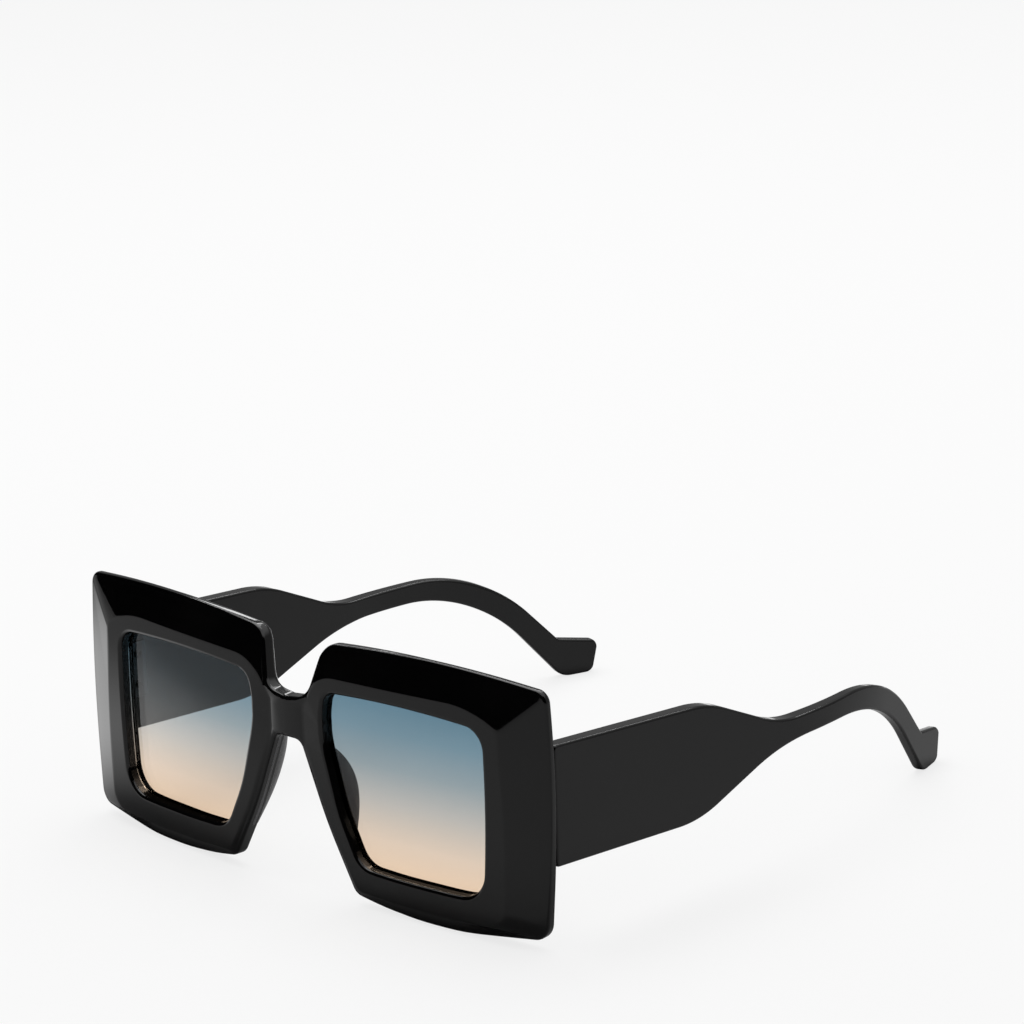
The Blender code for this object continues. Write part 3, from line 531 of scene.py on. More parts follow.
def scaledPoints(sizes, width, height, corner=(0.0, 0.0)):
    shares = (sizes["startShare"], *sizes["cornerShares"], sizes["endShare"])
    return [Vector((corner[0] + across * width, corner[1] + up * height)) for across, up in shares]


def openingPath():
    points = scaledPoints(opening, opening["width"], opening["height"], (opening["gap"] / 2, rim["bottom"]))
    path, _ = roundedPath(points, opening["radii"], rim["arcSteps"], rim["edgeSteps"])
    return closeOnPlane(path)


def outlinePath():
    path, marks = roundedPath(scaledPoints(rim, halfWidth, frontHeight), rim["radii"], rim["arcSteps"],
                              rim["edgeSteps"])
    return path, [0, *marks, len(path) - 1]


def closeOnPlane(path):
    last, first = path[-1], path[0]
    return [*path, *(last.lerp(first, step / rim["planeSteps"]) for step in range(1, rim["planeSteps"]))]


def ringHeight(u):
    # the ring thickens outwards, and a soft crease parts it from the rounded bridge
    edge = opening["gap"] / 2
    crease = rim["bridgeFlat"] / 2
    drop = (u / crease) ** 2 if u < crease else max(0.0, (edge - u) / (edge - crease)) ** 2
    share = u / (edge + opening["width"])
    return (rim["bridgeThickness"] + (rim["ringThickness"] - rim["bridgeThickness"]) * share ** 2
            - rim["creaseDrop"] * drop)


def ridgePath(outline, marks):
    # the outer edge of the flat ring, and of the bridge's saddle
    soft = rim["ridgeFillet"]
    left = opening["gap"] / 2
    right = left + opening["width"] + rim["ringSide"]
    low = rim["bottom"] - rim["ringBottom"]
    high = rim["bottom"] + opening["height"] + rim["ringTop"]
    crease = rim["bridgeFlat"] / 2
    inset = rim["edgeFillet"] + soft
    inner = offsetPath(outline, inset)
    notch, nasal, under, foot = (inner[marks[place]] for place in (1, 10, 11, 9))
    points = [
        Vector((crease, inner[0].y - soft)),
        notch + Vector(rim["notchShift"]),
        Vector((left, high)) + Vector(rim["noseShift"]),
        Vector((left + opening["width"] * rim["topShare"], high + rim["topRise"])),
        Vector((right, high)) + Vector(rim["cornerShift"]),
        Vector((right, low + opening["height"] / 2)),
        Vector((right - rim["lowInset"], low)),
        *(Vector((left + opening["width"] * share, low - soft)) for share in rim["lowShares"]),
        Vector((foot.x + soft, low)),
        nasal,
        Vector((under.x + inset, under.y - soft)),
        Vector((crease, inner[-1].y + soft)),
    ]
    path, ridgeMarks = roundedPath(points, rim["ridgeRadii"], rim["arcSteps"], rim["edgeSteps"])
    return keepStep(path, openingPath(), ridgeMarks[1], ridgeMarks[3])


def keepStep(path, leader, first, last):
    # points first to last spread along their path as the leader's points are
    leading = lengthsAlong(leader[first:last + 1])
    stretch = path[first:last + 1]
    lengths = lengthsAlong(stretch)
    final = len(stretch) - 2
    spread = []
    for length in leading:
        reach = length / leading[-1] * lengths[-1]
        index = next((place for place in range(final) if lengths[place + 1] >= reach), final)
        share = (reach - lengths[index]) / (lengths[index + 1] - lengths[index])
        spread.append(stretch[index].lerp(stretch[index + 1], min(1.0, share)))
    return [*path[:first], *spread, *path[last + 1:]]


def rounding(radius, turn):
    # how far a fillet lies in from its two faces at a turn in degrees
    return radius * (1 - math.cos(math.radians(turn))), radius * (1 - math.sin(math.radians(turn)))


def halfFront():
    # loops from the lens opening over the facets and the edge to the back, then into the groove
    hole = openingPath()
    outline, marks = outlinePath()
    ridge = closeOnPlane(ridgePath(outline, marks))
    ringEdge = rim["bridgeThickness"]
    notchEdge = ringEdge - rim["edgeFillet"] / 2
    edge = spreadValues(outline, marks, (
        ringEdge, notchEdge, rim["hornEdge"], rim["topEdge"], rim["shoulderEdge"], rim["sideEdge"],
        rim["edge"], rim["bottomEdge"], rim["bottomEdge"], rim["footEdge"], notchEdge, notchEdge, ringEdge))
    scoop = spreadValues(outline, marks, (
        rim["scoop"], 0, -rim["hornSwell"], -rim["hornSwell"] / 6, 0, 0, 0, 0, 0, rim["scoop"],
        rim["scoop"] / 2, rim["scoop"] / 2, rim["scoop"]))
    plain, nose = rim["backFillet"], rim["noseFillet"]
    backRound = spreadValues(outline, marks, (plain, nose, nose, *[plain] * 10))
    vertices, loops, closed = [], [], []

    def addLoop(points, full=True):
        addRing(vertices, loops, (bend(*point) for point in points))
        closed.append(full)

    def openingLoop(distance, heights):
        addLoop(raised(offsetPath(hole, -distance, closed=True), heights))

    ring = [ringHeight(point.x) for point in hole]
    for turn in opening["frontTurns"]:
        inset, drop = rounding(opening["frontFillet"], turn)
        openingLoop(inset, [height - drop for height in ring])
    ringInset = opening["frontFillet"] + rim["support"]
    openingLoop(ringInset, ring)
    nearLine = raised(offsetPath(hole, -ringInset, closed=True), ring)
    topLine = raised(ridge, [ringHeight(point.x) for point in ridge])
    farLine = closeOnPlane(raised(offsetPath(outline, rim["edgeFillet"]), edge))
    for place in rim["ridgePlaces"]:
        addLoop([ridgePoint(place, *points) for points in zip(nearLine, topLine, farLine)])
    addLoop(farLine, False)
    for turn in rim["edgeTurns"]:
        drop, inset = rounding(rim["edgeFillet"], turn)
        addLoop(raised(offsetPath(outline, inset), [height - drop for height in edge]), False)
    for turn in (0, *rim["edgeTurns"][:-1]):
        insets, rises = zip(*(rounding(radius, turn) for radius in backRound))
        addLoop(raised(offsetPath(outline, list(insets)), [sum(pair) for pair in zip(scoop, rises)]), False)
    backLine = closeOnPlane(raised(offsetPath(outline, backRound), scoop))
    addLoop(backLine)
    fillet = opening["backFillet"]
    holeLine = raised(offsetPath(hole, -fillet, closed=True), [0.0] * len(hole))
    for share in rim["backShares"]:
        addLoop([back.lerp(inner, share) for back, inner in zip(backLine, holeLine)])
    for turn in opening["backTurns"]:
        inset, drop = rounding(fillet, turn)
        openingLoop(inset, [drop] * len(hole))
    for depth, height in ((0, "grooveBack"), (opening["grooveDepth"], "grooveBack"),
                          (opening["grooveDepth"], "grooveFront"), (0, "grooveFront")):
        openingLoop(depth, [opening[height]] * len(hole))
    loops.append(loops[0])
    return vertices, loftFaces(loops, closed)


def ridgePoint(place, near, top, far):
    # a point on the rounded ridge for a place up to 1, or on the facet beyond it
    crease = rim["bridgeFlat"] / 2
    towards, away = near - top, far - top
    inwards = min(rim["ridgeRound"], towards.length * rim["inwardsShare"])
    outwards = min(rim["ridgeRound"], away.length * rim["outwardsShare"])
    if place < 0:
        return top + towards.normalized() * (inwards + rim["support"])
    first = top + towards.normalized() * inwards
    last = top + away.normalized() * outwards
    if place <= 1:
        return first * (1 - place) ** 2 + top * 2 * place * (1 - place) + last * place ** 2
    point = last.lerp(far, place - 1)
    if point.x < crease:
        point.z += rim["creaseDrop"] * point.x / crease * (1 - point.x / crease)
    return point


def makeFront(finish):
    halves = [meshFrom("half", *halfFront(), side) for side in sides.values()]
    front = joined("frontShell", halves, finish, rim["weld"])
    depth = hinge["leaf"] + hinge["seat"]
    middle = Matrix.Translation((0, (hinge["overrun"] - depth) / 2, 0))
    size = (hinge["frontLeafLength"] + 2 * hinge["seat"], depth + hinge["overrun"],
            leafHeight() + 2 * hinge["seat"])
    cut(front, boxMesh("pockets", [(leafFrame(side) @ middle, size) for side in sides.values()]))
    smoothFaces(front)
    return front


# lenses and nose pads

lens = {
    "thickness": 1.8 * mm,
    "back": 0.6 * mm,
    "bite": 0.8 * mm,
    "edge": 0.2 * mm,
    "faceShares": (0.03, 0.15, 0.3, 0.45, 0.6, 0.75, 0.88, 0.96),
}
pad = {
    "top": 33.6 * mm,
    "bottom": 10.0 * mm,
    "width": 4.8 * mm,
    "depth": 4.9 * mm,
    "splay": 2.2 * mm,
    "proud": 0.03 * mm,
    "bury": 2.4 * mm,
    "steps": 44,
    "around": 26,
    "endShare": 0.01,
    "thinShare": 0.4,
    "lowPower": 0.8,
    "fullPower": 0.9,
    "sidePower": 0.8,
    "sharpAngle": 60.0,
}


def makeLens(name, side, finish):
    edge = offsetPath(openingPath(), -lens["bite"], closed=True)
    centre = sum(edge, Vector((0, 0))) / len(edge)
    front = lens["back"] + lens["thickness"]
    chamfer = 1 - lens["edge"] / (opening["width"] / 2)
    rings = [(share, front) for share in (*lens["faceShares"], chamfer)]
    rings += [(1.0, front - lens["edge"]), (1.0, lens["back"] + lens["edge"])]
    rings += [(share, lens["back"]) for share in (chamfer, *reversed(lens["faceShares"]))]
    return cappedPiece(name, [[bend(*centre.lerp(point, share), height) for point in edge]
                              for share, height in rings], side, finish)


def makeNosePad(name, side, finish):
    # a soft fin along the back of the rim, flush with its edge beside the nose
    outline, marks = outlinePath()
    nasal = outline[marks[9]:marks[11] + 1]
    rings = []
    for step in range(pad["steps"] + 1):
        share = step / pad["steps"]
        v = pad["top"] + (pad["bottom"] - pad["top"]) * share
        above = next(index for index, point in enumerate(nasal) if index and point.y >= v)
        low, high = nasal[above - 1], nasal[above]
        edge = low.lerp(high, (v - low.y) / (high.y - low.y))
        along = (high - low).normalized()
        into = Vector((along.y, -along.x))
        rise = pad["endShare"] + (1 - 2 * pad["endShare"]) * share ** pad["lowPower"]
        full = math.sin(math.pi * rise) ** pad["fullPower"]
        width = pad["width"] * (pad["thinShare"] + (1 - pad["thinShare"]) * full)
        rings.append([])
        for index in range(pad["around"] + 1):
            turn = math.pi * index / pad["around"]
            reach = max(0.0, math.sin(turn))
            across = width * (1 - math.cos(turn)) / 2 - pad["proud"] + pad["splay"] * full * reach ** 2
            depth = (pad["bury"] + pad["depth"] * full) * reach ** pad["sidePower"] - pad["bury"]
            point = edge + into * across
            rings[-1].append(bend(point.x, point.y, -depth))
    return cappedPiece(name, rings, side, finish, pad["sharpAngle"])


# hinges

hinge = {
    "inset": 7.3 * mm,
    "height": 32.0 * mm,
    "knuckleRadius": 1.7 * mm,
    "knuckleHeight": 2.4 * mm,
    "knuckleGap": 0.12 * mm,
    "knuckles": 5,
    "leaf": 1.0 * mm,
    "clearance": 0.35 * mm,
    "proud": 0.5 * mm,
    "margin": 0.3 * mm,
    "frontLeafLength": 7.2 * mm,
    "templeLeafLength": 10.0 * mm,
    "templeLeafStart": 0.8 * mm,
    "seat": 0.25 * mm,
    "overrun": 1.0 * mm,
    "softEdge": 0.12 * mm,
    "roundSteps": 24,
    "sharpTurn": 1.2,
}
screw = {
    "steps": 32,
    "crownShare": 0.6,
    "softShares": (0.3, 0.35),
    "slotTurn": 0.7,
    "nextTurn": 1.9,
    "smallDome": 0.06 * mm,
    "pinDome": 0.08 * mm,
    "bore": 0.6 * mm,
    "boreSteps": 28,
    "pinRadius": 0.65 * mm,
    "pinHead": 1.15 * mm,
    "smallRadius": 0.5 * mm,
    "smallHead": 0.95 * mm,
    "smallLength": 2.6 * mm,
    "headHeight": 0.5 * mm,
    "headGap": 0.1 * mm,
    "slotWidth": 0.32 * mm,
    "slotDepth": 0.26 * mm,
    "spread": 7.2 * mm,
    "frontInset": 1.6 * mm,
    "templeInset": 2.4 * mm,
}


def stackHeight():
    return hinge["knuckles"] * hinge["knuckleHeight"] + (hinge["knuckles"] - 1) * hinge["knuckleGap"]


def leafHeight():
    return stackHeight() + 2 * hinge["margin"]


def axisOffset():
    return hinge["frontLeafLength"] / 2 - hinge["knuckleRadius"] - hinge["margin"]


def leafFrame(side):
    u = halfWidth - hinge["inset"] - axisOffset()
    origin = bend(u * side, hinge["height"], 0)
    return Matrix.Translation(origin) @ Matrix.Rotation(u / wrap["radius"] * side, 4, "Z")


def hingeAxis(side):
    return leafFrame(side) @ Vector((side * axisOffset(), hinge["knuckleRadius"] + hinge["clearance"], 0))


def innerFace():
    return temple["outerX"] - temple["thickness"]


def templeLeafEnd():
    return hingeAxis(1).y - hinge["templeLeafStart"] + hinge["templeLeafLength"]


def knuckleMesh(reach):
    # one knuckle: round towards -X, with straight sides that reach its leaf along +X
    builder = bmesh.new()
    radius = hinge["knuckleRadius"]
    steps = hinge["roundSteps"]
    angles = [math.pi * (0.5 + step / steps) for step in range(steps + 1)]
    outline = [(math.cos(angle) * radius, math.sin(angle) * radius) for angle in angles]
    outline += [(reach, -radius), (reach, radius)]
    half = hinge["knuckleHeight"] / 2
    rows = [[builder.verts.new((x, y, z)) for x, y in outline] for z in (-half, half)]
    builder.faces.new(rows[0][::-1])
    builder.faces.new(rows[1])
    for index in range(len(outline)):
        after = (index + 1) % len(outline)
        builder.faces.new((rows[0][index], rows[0][after], rows[1][after], rows[1][index]))
    rims = [edge for edge in builder.edges if edge.calc_face_angle(0) > hinge["sharpTurn"]]
    bmesh.ops.bevel(builder, geom=rims, offset=hinge["softEdge"], segments=2, profile=0.5, affect="EDGES")
    return closeMesh("knuckle", builder)


def copiesTree():
    # copies of a source piece on a base mesh's points, each turned by the point's "turn" attribute
    board = Board(bpy.data.node_groups.new("copiesOnPoints", "GeometryNodeTree"))
    given = board.groupInputs({"places": "Geometry", "source": "Object", "finish": "Material"})
    shape = board.add("GeometryNodeObjectInfo", {"Object": given["source"]}).other("Geometry")
    turn = board.add("GeometryNodeInputNamedAttribute", {"Name": "turn"}, {"data_type": "FLOAT_VECTOR"})
    copies = board.add("GeometryNodeInstanceOnPoints", {
        "Points": given["places"], "Instance": shape, "Rotation": turn})
    board.groupOutput(copies, given["finish"])
    return board.tree


def copiesMesh(name, tree, source, places, finish):
    base = meshFrom(name, [place.to_translation() for place in places], [])
    turns = base.attributes.new("turn", "FLOAT_VECTOR", "POINT")
    for entry, place in zip(turns.data, places):
        entry.vector = place.to_euler()
    holder = linked(name + "Source", source)
    grown = growMesh(name, tree, base, {"source": holder, "finish": finish})
    bpy.data.objects.remove(holder)
    return grown


def knucklePlaces(middle, turn, order):
    pitch = hinge["knuckleHeight"] + hinge["knuckleGap"]
    return [middle @ Matrix.Translation((0, 0, (place - 2) * pitch)) @ turn for place in order]


def makeLeaf(name, side, tree, finish, plate, reach, places, bores):
    knuckles = copiesMesh(name + "Knuckles", tree, knuckleMesh(reach), places, finish)
    piece = joined(name, [boxMesh(name, [plate], hinge["softEdge"]), knuckles], finish)
    if side < 0:
        piece.data.transform(Matrix.Diagonal((-1, 1, 1, 1)))
        piece.data.flip_normals()
    cutBores(piece, side, bores)
    smoothFaces(piece)
    return piece


def makeFrontLeaf(name, side, tree, finish):
    frameAt = leafFrame(1)
    height = hinge["knuckleRadius"] + hinge["clearance"]
    plate = (frameAt @ Matrix.Translation((0, -hinge["leaf"] / 2, 0)),
             (hinge["frontLeafLength"], hinge["leaf"], leafHeight()))
    places = knucklePlaces(frameAt @ Matrix.Translation((axisOffset(), height, 0)),
                           Matrix.Rotation(-math.pi / 2, 4, "Z"), (0, 2, 4))
    return makeLeaf(name, side, tree, finish, plate, height + hinge["leaf"] / 2, places, frontScrewPlaces(1))


def makeTempleLeaf(name, side, tree, finish):
    axis = hingeAxis(1)
    middle = Vector((innerFace() - hinge["proud"] + hinge["leaf"] / 2,
                     templeLeafEnd() - hinge["templeLeafLength"] / 2, axis.z))
    plate = (Matrix.Translation(middle), (hinge["leaf"], hinge["templeLeafLength"], leafHeight()))
    places = knucklePlaces(Matrix.Translation(axis), leafFrame(1).to_3x3().to_4x4(), (1, 3))
    return makeLeaf(name, side, tree, finish, plate, middle.x - axis.x, places, templeScrewPlaces(1))


def cutBores(piece, side, places):
    # holes for the small screws through the leaf
    builder = bmesh.new()
    for place in places:
        bmesh.ops.create_cone(builder, cap_ends=True, segments=screw["boreSteps"], radius1=screw["bore"],
                              radius2=screw["bore"], depth=4 * hinge["leaf"], matrix=place)
    cut(piece, closeMesh("bores", builder, side))


def screwLevels():
    return -screw["spread"] / 2, screw["spread"] / 2


def frontScrewPlaces(side):
    across = side * (screw["frontInset"] - hinge["frontLeafLength"] / 2)
    turn = Matrix.Rotation(-math.pi / 2, 4, "X")
    return [leafFrame(side) @ Matrix.Translation((across, 0, level)) @ turn for level in screwLevels()]


def templeScrewPlaces(side):
    x = side * (innerFace() - hinge["proud"])
    y = templeLeafEnd() - screw["templeInset"]
    turn = Matrix.Rotation(-math.pi / 2 * side, 4, "Y")
    return [Matrix.Translation((x, y, hingeAxis(1).z + level)) @ turn for level in screwLevels()]


def screwMesh(shaft, length, head, domed):
    # a turned screw with a slot across its head; the underside of the head is at height 0
    top = screw["headHeight"]
    chamfer = screw["headGap"]
    crown = screw["crownShare"]
    across, down = (share * chamfer for share in screw["softShares"])
    profile = [(0.0, top + domed), (head * crown, top + domed * crown), (head - chamfer, top),
               (head - across, top - down), (head, top - chamfer), (head, 0.0), (shaft, 0.0),
               (shaft, -length + chamfer), (shaft - chamfer, -length), (0.0, -length)]
    steps = screw["steps"]
    turns = [math.tau * step / steps for step in range(steps)]
    vertices, loops = [], []
    for radius, height in profile:
        addRing(vertices, loops, ((radius * math.cos(turn), radius * math.sin(turn), height)
                                  for turn in (turns if radius > 0 else turns[:1])))
    faces = []
    for upper, lower in zip(loops, loops[1:]):
        for index in range(steps):
            after = (index + 1) % steps
            ring = [upper[index % len(upper)], lower[index % len(lower)], lower[after % len(lower)],
                    upper[after % len(upper)]]
            faces.append(tuple(dict.fromkeys(ring)))
    body = addPiece("screwBody", meshFrom("screwBody", vertices, faces), steel)
    slot = boxMesh("slot", [(Matrix.Translation((0, 0, top + domed)),
                             (head * 3, screw["slotWidth"], 2 * (screw["slotDepth"] + domed)))])
    cut(body, slot)
    made = body.data
    bpy.data.objects.remove(body)
    return made


# temples

temple = {
    "top": 44.9 * mm,
    "thickness": 3.8 * mm,
    "tipThickness": 2.5 * mm,
    "inset": 0.6 * mm,
    "fillet": 0.7 * mm,
    "gap": 0.45 * mm,
    "endRound": 0.35 * mm,
    "endShrinkShare": 0.03,
    "tailShare": 0.1,
    "weld": 0.001 * mm,
    "slantLength": 20.0 * mm,
    "bendStart": 74.5 * mm,
    "bendEnd": 111.5 * mm,
    "bendShare": 0.345,
    "cornerSteps": 8,
    "topShares": ((0.0, 1.0), (0.335, 0.930), (0.493, 0.699), (0.794, 0.698), (0.929, 0.222), (1.0, 0.178)),
    "topRadii": (0.9, 30, 28, 40, 0.8, 2.0),
    "lowShares": ((0.0, 0.401), (0.306, 0.357), (0.499, 0.590), (0.779, 0.592), (0.934, 0.0), (0.988, 0.0)),
    "lowRadii": (0.9, 30, 55, 40, 5, 2.0),
    "arcSteps": (6, 24, 24, 36, 10, 10),
    "edgeSteps": (1, 20, 8, 20, 8, 4, 1),
}
temple["outerX"] = bend(halfWidth - temple["inset"], 0, 0).x
temple["frontY"] = bend(halfWidth - temple["inset"], hinge["height"], 0).y + temple["gap"]
temple["slantShare"] = (halfWidth - temple["inset"]) / wrap["radius"]


def templeLines():
    before = Vector((0, temple["top"] / 2))
    after = Vector((wrap["templeLength"], temple["top"] * temple["tailShare"]))
    lines = []
    for edge in ("top", "low"):
        points = [Vector((along * wrap["templeLength"], up * temple["top"]))
                  for along, up in temple[edge + "Shares"]]
        path, _ = roundedPath([before, *points, after], temple[edge + "Radii"], temple["arcSteps"],
                              temple["edgeSteps"])
        lines.append(path[:-1])
    return lines


def templeTree(top, low):
    # sections with round corners between a top line and a lower line, thinned and bent towards the tip
    board = Board(bpy.data.node_groups.new("templeShape", "GeometryNodeTree"))
    sizes = ("cornerSteps", "thickness", "tipThickness", "fillet", "endRound", "bendStart", "bendEnd",
             "bendShare", "outerX", "frontY", "slantShare", "slantLength")
    given = board.groupInputs({
        "lines": "Geometry",
        "finish": "Material",
        "sections": len(top),
        "firstEnd": (top[0].x + low[0].x) / 2,
        "lastEnd": (top[-1].x + low[-1].x) / 2,
        "leanShare": wrap["leanShare"],
        "leanHeight": wrap["leanHeight"],
        **{name: temple[name] for name in sizes},
    })
    sections = given["sections"]
    perCorner = given["cornerSteps"] + 1
    grid = board.add("GeometryNodeMeshGrid", {
        "Size X": 1.0, "Size Y": 1.0, "Vertices X": sections + 2, "Vertices Y": perCorner * 4 + 1})
    here = board.add("GeometryNodeInputPosition")
    spot = board.parts(here)
    ring = ((spot.other("X") + 0.5) * (sections + 1)).math("ROUND")
    step = ((spot.other("Y") + 0.5) * (perCorner * 4)).math("ROUND")
    index = (ring - 1).clamped(0.0, sections - 1)

    def lineAt(number):
        return board.add("GeometryNodeSampleIndex", {
            "Geometry": given["lines"], "Value": here, "Index": number}, {"data_type": "FLOAT_VECTOR"})

    low = lineAt(index + sections)
    rise = board.vector("SUBTRACT", lineAt(index), low)
    halfHeight = board.vector("LENGTH", rise, out="Value") / 2
    centre = board.vector("MULTIPLY_ADD", rise, (0.5, 0.5, 0.5), low)
    corner = ((step + 0.5) / perCorner).math("FLOOR")
    turn = (corner + (step - corner * perCorner) / given["cornerSteps"]) * (math.pi / 2)
    diagonal = (corner + 0.5) * (math.pi / 2)
    fillet = given["fillet"]
    inside = ring.math("GREATER_THAN", 0.5) * (sections + 0.5).math("GREATER_THAN", ring)
    lift = diagonal.math("SINE").math("SIGN") * (halfHeight - fillet) + turn.math("SINE") * fillet
    lift = lift * (1 - temple["endShrinkShare"] + inside * temple["endShrinkShare"])
    upwards = board.vector("NORMALIZE", rise)
    section = board.vector("MULTIPLY_ADD", upwards, board.combined(lift, lift, lift), centre)
    flatPoint = board.parts(section)
    along, height = flatPoint.other("Y"), flatPoint.other("Z")
    bendLength = given["bendEnd"] - given["bendStart"]
    bent = ((along - given["bendStart"]) / bendLength).clamped(0.0, 1.0)
    thickness = given["thickness"] + (given["tipThickness"] - given["thickness"]) * bent
    middle = board.parts(centre).other("Y")
    fromEnd = (middle - given["firstEnd"]).math("MINIMUM", given["lastEnd"] - middle)
    short = 1 - (fromEnd / given["endRound"]).clamped(0.0, 1.0)
    narrowing = given["endRound"] * (1 - (1 - short * short).math("SQRT"))
    halfWide = thickness / 2 - narrowing - fillet
    across = (diagonal.math("COSINE").math("SIGN") * halfWide + turn.math("COSINE") * fillet) * inside
    depth = thickness / 2 - across
    slope = given["bendShare"]
    past = (along - given["bendEnd"]).math("MAXIMUM", 0.0)
    outer = given["outerX"] - slope * bent * bent * bendLength / 2 - slope * past
    angle = (slope * bent).math("ARCTANGENT")
    fade = (1 - along / given["slantLength"]).math("MAXIMUM", 0.0)
    forwards = depth * (angle.math("SINE") + given["slantShare"] * fade)
    leaning = given["leanShare"] * (height - given["leanHeight"]) * fade
    y = given["frontY"] + along - forwards + leaning
    place = board.combined(outer - depth * angle.math("COSINE"), y, height)
    shaped = board.add("GeometryNodeSetPosition", {"Geometry": grid, "Position": place})
    welded = board.add("GeometryNodeMergeByDistance", {"Geometry": shaped, "Distance": temple["weld"]})
    board.groupOutput(welded, given["finish"])
    return board.tree


def makeTemple(name, side, tree, lines, finish):
    base = meshFrom(name, [(0, point.x, point.y) for line in lines for point in line], [])
    builder = bmesh.new()
    builder.from_mesh(growMesh(name, tree, base, {"finish": finish}))
    piece = addPiece(name, closeMesh(name, builder, side), finish)
    frontY = temple["frontY"] - hinge["overrun"]
    backEnd = templeLeafEnd() + hinge["seat"]
    depth = hinge["leaf"] - hinge["proud"] + hinge["seat"]
    middle = Vector((innerFace() + (depth - hinge["overrun"]) / 2, (frontY + backEnd) / 2, hinge["height"]))
    size = (depth + hinge["overrun"], backEnd - frontY, leafHeight() + 2 * hinge["seat"])
    cut(piece, boxMesh("pocket", [(Matrix.Translation(middle), size)], side=side))
    smoothFaces(piece)
    return piece


# put the pieces in the scene

def fit(piece, body, slotName, *replaced):
    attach(piece, body)
    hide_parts(*replaced)


black = makeAcetate("polishedBlackAcetate", acetateLook)
padBlack = makeAcetate("satinBlackAcetate", padLook)
tinted = makeGradientLens("gradientLens", rim["bottom"], rim["bottom"] + opening["height"])
steel = makeHingeSteel("satinHingeSteel")
fit(makeFront(black), "front", "gloss_black", "front_frame")
print("front made")

temples = templeLines()
templeGrower = templeTree(*temples)
copiesGrower = copiesTree()
smallScrew = screwMesh(screw["smallRadius"], screw["smallLength"], screw["smallHead"], screw["smallDome"])
pinScrew = screwMesh(screw["pinRadius"], stackHeight() + screw["headGap"], screw["pinHead"], screw["pinDome"])


def makeScrews(name, source, places):
    # screws end with their slots at unlike angles
    lift = Matrix.Translation((0, 0, screw["headGap"]))
    turned = [place @ lift @ Matrix.Rotation(screw["slotTurn"] + screw["nextTurn"] * index, 4, "Z")
              for index, place in enumerate(places)]
    piece = addPiece(name, copiesMesh(name, copiesGrower, source, turned, steel), steel)
    smoothFaces(piece)
    return piece


for sideName, side in sides.items():
    templeBody = "temple_" + sideName
    fit(makeLens("lensShell_" + sideName, side, tinted), "front", "gradient_lens", "lens_" + sideName)
    fit(makeNosePad("padShell_" + sideName, side, padBlack), "front", "gloss_black", "nose_pad_" + sideName)
    fit(makeTemple("templeShell_" + sideName, side, templeGrower, temples, black), templeBody, "gloss_black",
        "temple_" + sideName)
    fit(makeFrontLeaf("frontLeaf_" + sideName, side, copiesGrower, steel), "front", "hinge_steel",
        "hinge_front_leaf_" + sideName)
    fit(makeTempleLeaf("templeLeaf_" + sideName, side, copiesGrower, steel), templeBody, "hinge_steel",
        "hinge_temple_leaf_" + sideName)
    for body, leaf, places in (("front", "front", frontScrewPlaces(side)),
                               (templeBody, "temple", templeScrewPlaces(side))):
        fit(makeScrews(f"{leaf}Screws_{sideName}", smallScrew, places), body, "hinge_steel",
            *(f"{leaf}_leaf_screw_{sideName}_{level}" for level in ("lower", "upper")))
    pinPlace = Matrix.Translation(hingeAxis(side) + Vector((0, 0, stackHeight() / 2)))
    fit(makeScrews("hingePin_" + sideName, pinScrew, [pinPlace]), "front", "hinge_steel",
        "hinge_screw_" + sideName)
    core = nodes["temple_core_" + sideName].data
    core.materials.clear()
    core.materials.append(steel)
    print(sideName, "side made")


# floor, light and camera

studio = {
    "floorSize": 30.0,
    "floorFinish": {"Roughness": 0.9, "Specular IOR Level": 0.1},
    "floorColour": (0.93, 0.93, 0.93, 1.0),
    "grainColour": (0.91, 0.91, 0.915, 1.0),
    "grainScale": 3.0,
    "grainShare": 0.05,
    "mirroredColour": (0.40, 0.40, 0.40, 1.0),
    # painted contact shade: the floor that reflections see is darker along the front's foot
    "contactShadeColour": (0.08, 0.08, 0.08, 1.0),
    "contactShadeDepth": 0.078,
    "contactShadeRange": (0.003, 0.014),
    "contactShadeShare": 0.6,
    # painted reflected light: a glowing patch of floor to the left that only reflections see
    "reflectedGlowStart": (0.07, 0.14),
    "reflectedGlowEnd": (0.19, 0.28),
    "reflectedGlowFront": (-0.15, -0.10),
    "paleColour": (0.957, 0.957, 0.957, 1.0),
    "glow": 0.8,
    "reflectedGlowLevel": 0.7,
    "mirroredGlow": 0.5,
    "fillLevel": 0.70,
    "backLevels": (0.28, 1.2),
    "backRise": (0.50, 0.80),
    "softbox": {"place": (-0.35, 0.15, 1.25), "size": (1.3, 1.0), "power": 9.0},
    "strip": {"place": (-0.55, 0.55, 0.85), "size": (1.1, 0.05), "power": 1.4},
    "edgeStrip": {"place": (-0.126, 0.035, 0.119), "size": (0.05, 0.014), "power": 0.009},
    "flagLow": (-0.01, 0.01),
    "flagHigh": (0.72, 0.86),
    "flagFront": (-0.25, 0.05),
}
photoView = {
    "place": (760.88 * mm, -740.05 * mm, 372.41 * mm),
    "backwards": (0.69088, -0.66826, 0.2759),
    "upwards": (-0.16632, 0.22447, 0.96018),
    "lens": 172.13,
    "sensor": 36.0,
    "clipStart": 0.01,
}


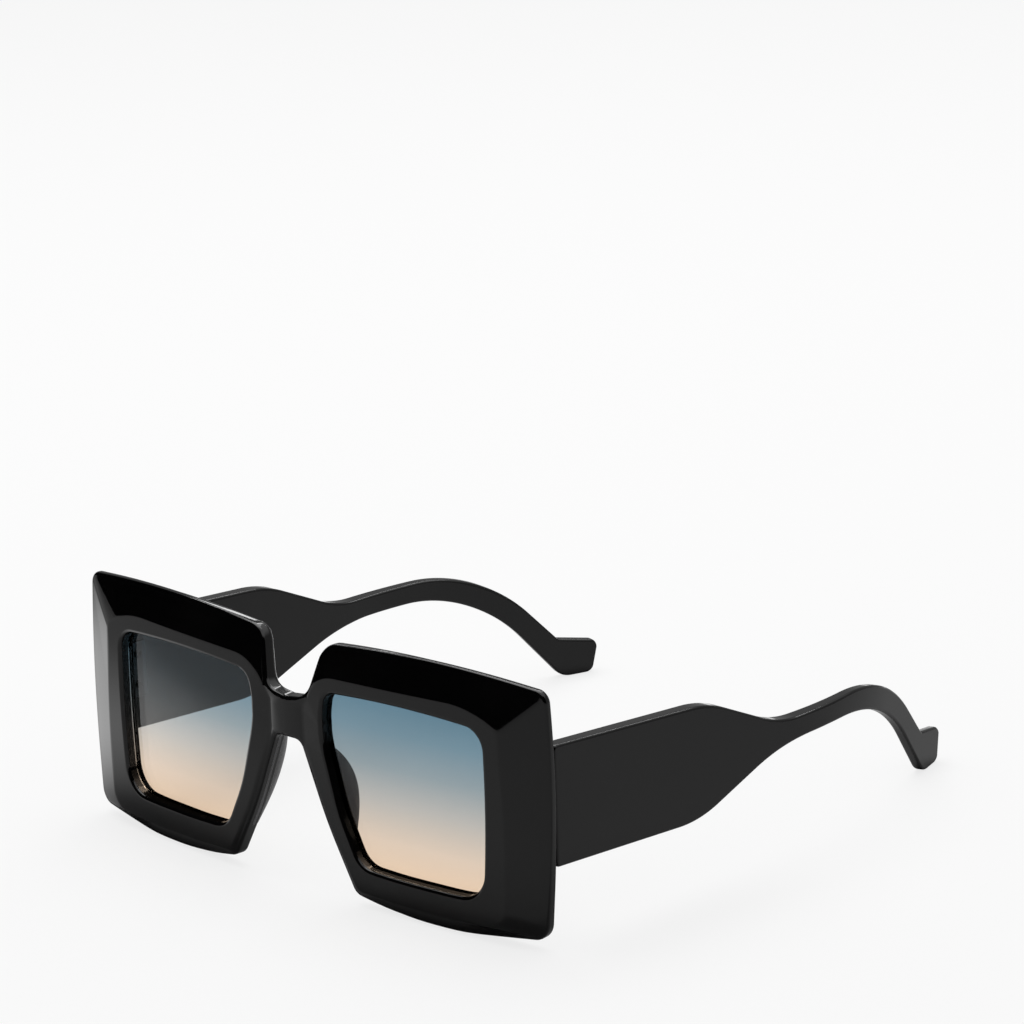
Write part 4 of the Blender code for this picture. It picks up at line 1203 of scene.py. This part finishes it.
def makeFloor():
    # pale table; in reflections it is dimmer, with a painted contact shade along the front's foot, but for a
    # painted glowing patch off to the left
    board, finish = newMaterial("paleFloor")
    place = board.objectPlace()
    spot = board.parts(place)
    leftwards, depth = spot.other("X") * -1, spot.other("Y")
    mirrored, seen = rayKinds(board)
    # painted reflected light: this patch of floor glows only in reflections
    ended = board.smooth(leftwards, *studio["reflectedGlowEnd"])
    patch = (board.smooth(leftwards, *studio["reflectedGlowStart"]) * (1 - ended)
             * board.smooth(depth, *studio["reflectedGlowFront"]))
    # painted contact shade along the line where the front's foot stands, seen only in reflections
    foot = 1 - board.smooth((depth + studio["contactShadeDepth"]).math("ABSOLUTE"), *studio["contactShadeRange"])
    grain = board.noise(place, studio["grainScale"], 2.0) * studio["grainShare"]
    pale = board.mixColour(grain, studio["floorColour"], studio["grainColour"])
    dim = board.mixColour(foot * studio["contactShadeShare"], studio["mirroredColour"], studio["contactShadeColour"])
    colour = board.mixColour(mirrored * (1 - patch), pale, dim)
    lit = board.add("BsdfPrincipled", {**studio["floorFinish"], "Base Color": colour})
    glow = board.add("Emission", {
        "Color": studio["paleColour"], "Strength": 1 + mirrored * studio["mirroredGlow"]})
    share = seen * studio["glow"] + mirrored * patch * studio["reflectedGlowLevel"]
    board.add("OutputMaterial", {"Surface": board.add("MixShader", {0: share, 1: lit, 2: glow})})
    half = studio["floorSize"] / 2
    corners = [(-half, -half, 0), (half, -half, 0), (half, half, 0), (-half, half, 0)]
    addPiece("studioFloor", meshFrom("studioFloor", corners, [(0, 1, 2, 3)]), finish)


def rayKinds(board):
    # 1 on what is mirrored by the object, and 1 on what is seen straight or through a lens
    path = board.add("LightPath")
    mirrored = path.other("Glossy Depth").math("GREATER_THAN", 0.5)
    straight = (path + path.other("Is Transmission Ray")).clamped(0.0, 1.0)
    return mirrored, straight * (1 - mirrored)


def makeWorld():
    # pale all round; reflections see a dark flag in front, and a dim wall behind that brightens high up
    world = bpy.data.worlds.new("studio")
    world.use_nodes = True
    bpy.context.scene.world = world
    board = Board(world.node_tree)
    aim = board.parts(board.add("TexCoord").other("Generated"))
    up, ahead = aim.other("Z"), aim.other("Y") * -1
    flag = (board.smooth(up, *studio["flagLow"]) * (1 - board.smooth(up, *studio["flagHigh"]))
            * board.smooth(ahead, *studio["flagFront"]))
    low, high = studio["backLevels"]
    wall = low + board.smooth(up, *studio["backRise"]) * (high - low)
    mirrored, seen = rayKinds(board)
    fill = board.add("Background", {"Strength": studio["fillLevel"]})
    level = 1 + mirrored * (wall * (1 - flag) - 1)
    pale = board.add("Background", {"Color": studio["paleColour"], "Strength": level})
    share = (seen + mirrored).clamped(0.0, 1.0)
    board.add("OutputWorld", {"Surface": board.add("MixShader", {0: share, 1: fill, 2: pale})})


def makeLamp(name, sizes):
    lamp = bpy.data.lights.new(name, "AREA")
    lamp.shape = "RECTANGLE"
    lamp.size, lamp.size_y = sizes["size"]
    lamp.energy = sizes["power"]
    holder = linked(name, lamp)
    holder.location = sizes["place"]
    holder.rotation_euler = (-Vector(sizes["place"])).to_track_quat("-Z", "Y").to_euler()
    holder.visible_camera = False


def makeCamera():
    shot = bpy.data.cameras.new("photoView")
    shot.lens = photoView["lens"]
    shot.sensor_width = photoView["sensor"]
    shot.clip_start = photoView["clipStart"]
    camera = linked("photoView", shot)
    back, up = (Vector(photoView[way]).normalized() for way in ("backwards", "upwards"))
    turn = Matrix((up.cross(back), up, back)).transposed().to_4x4()
    camera.matrix_world = Matrix.Translation(photoView["place"]) @ turn
    bpy.context.scene.camera = camera


makeFloor()
makeWorld()
for lampName in ("softbox", "strip", "edgeStrip"):
    makeLamp(lampName, studio[lampName])
makeCamera()
bpy.context.scene.view_settings.view_transform = "Standard"
print("studio made")
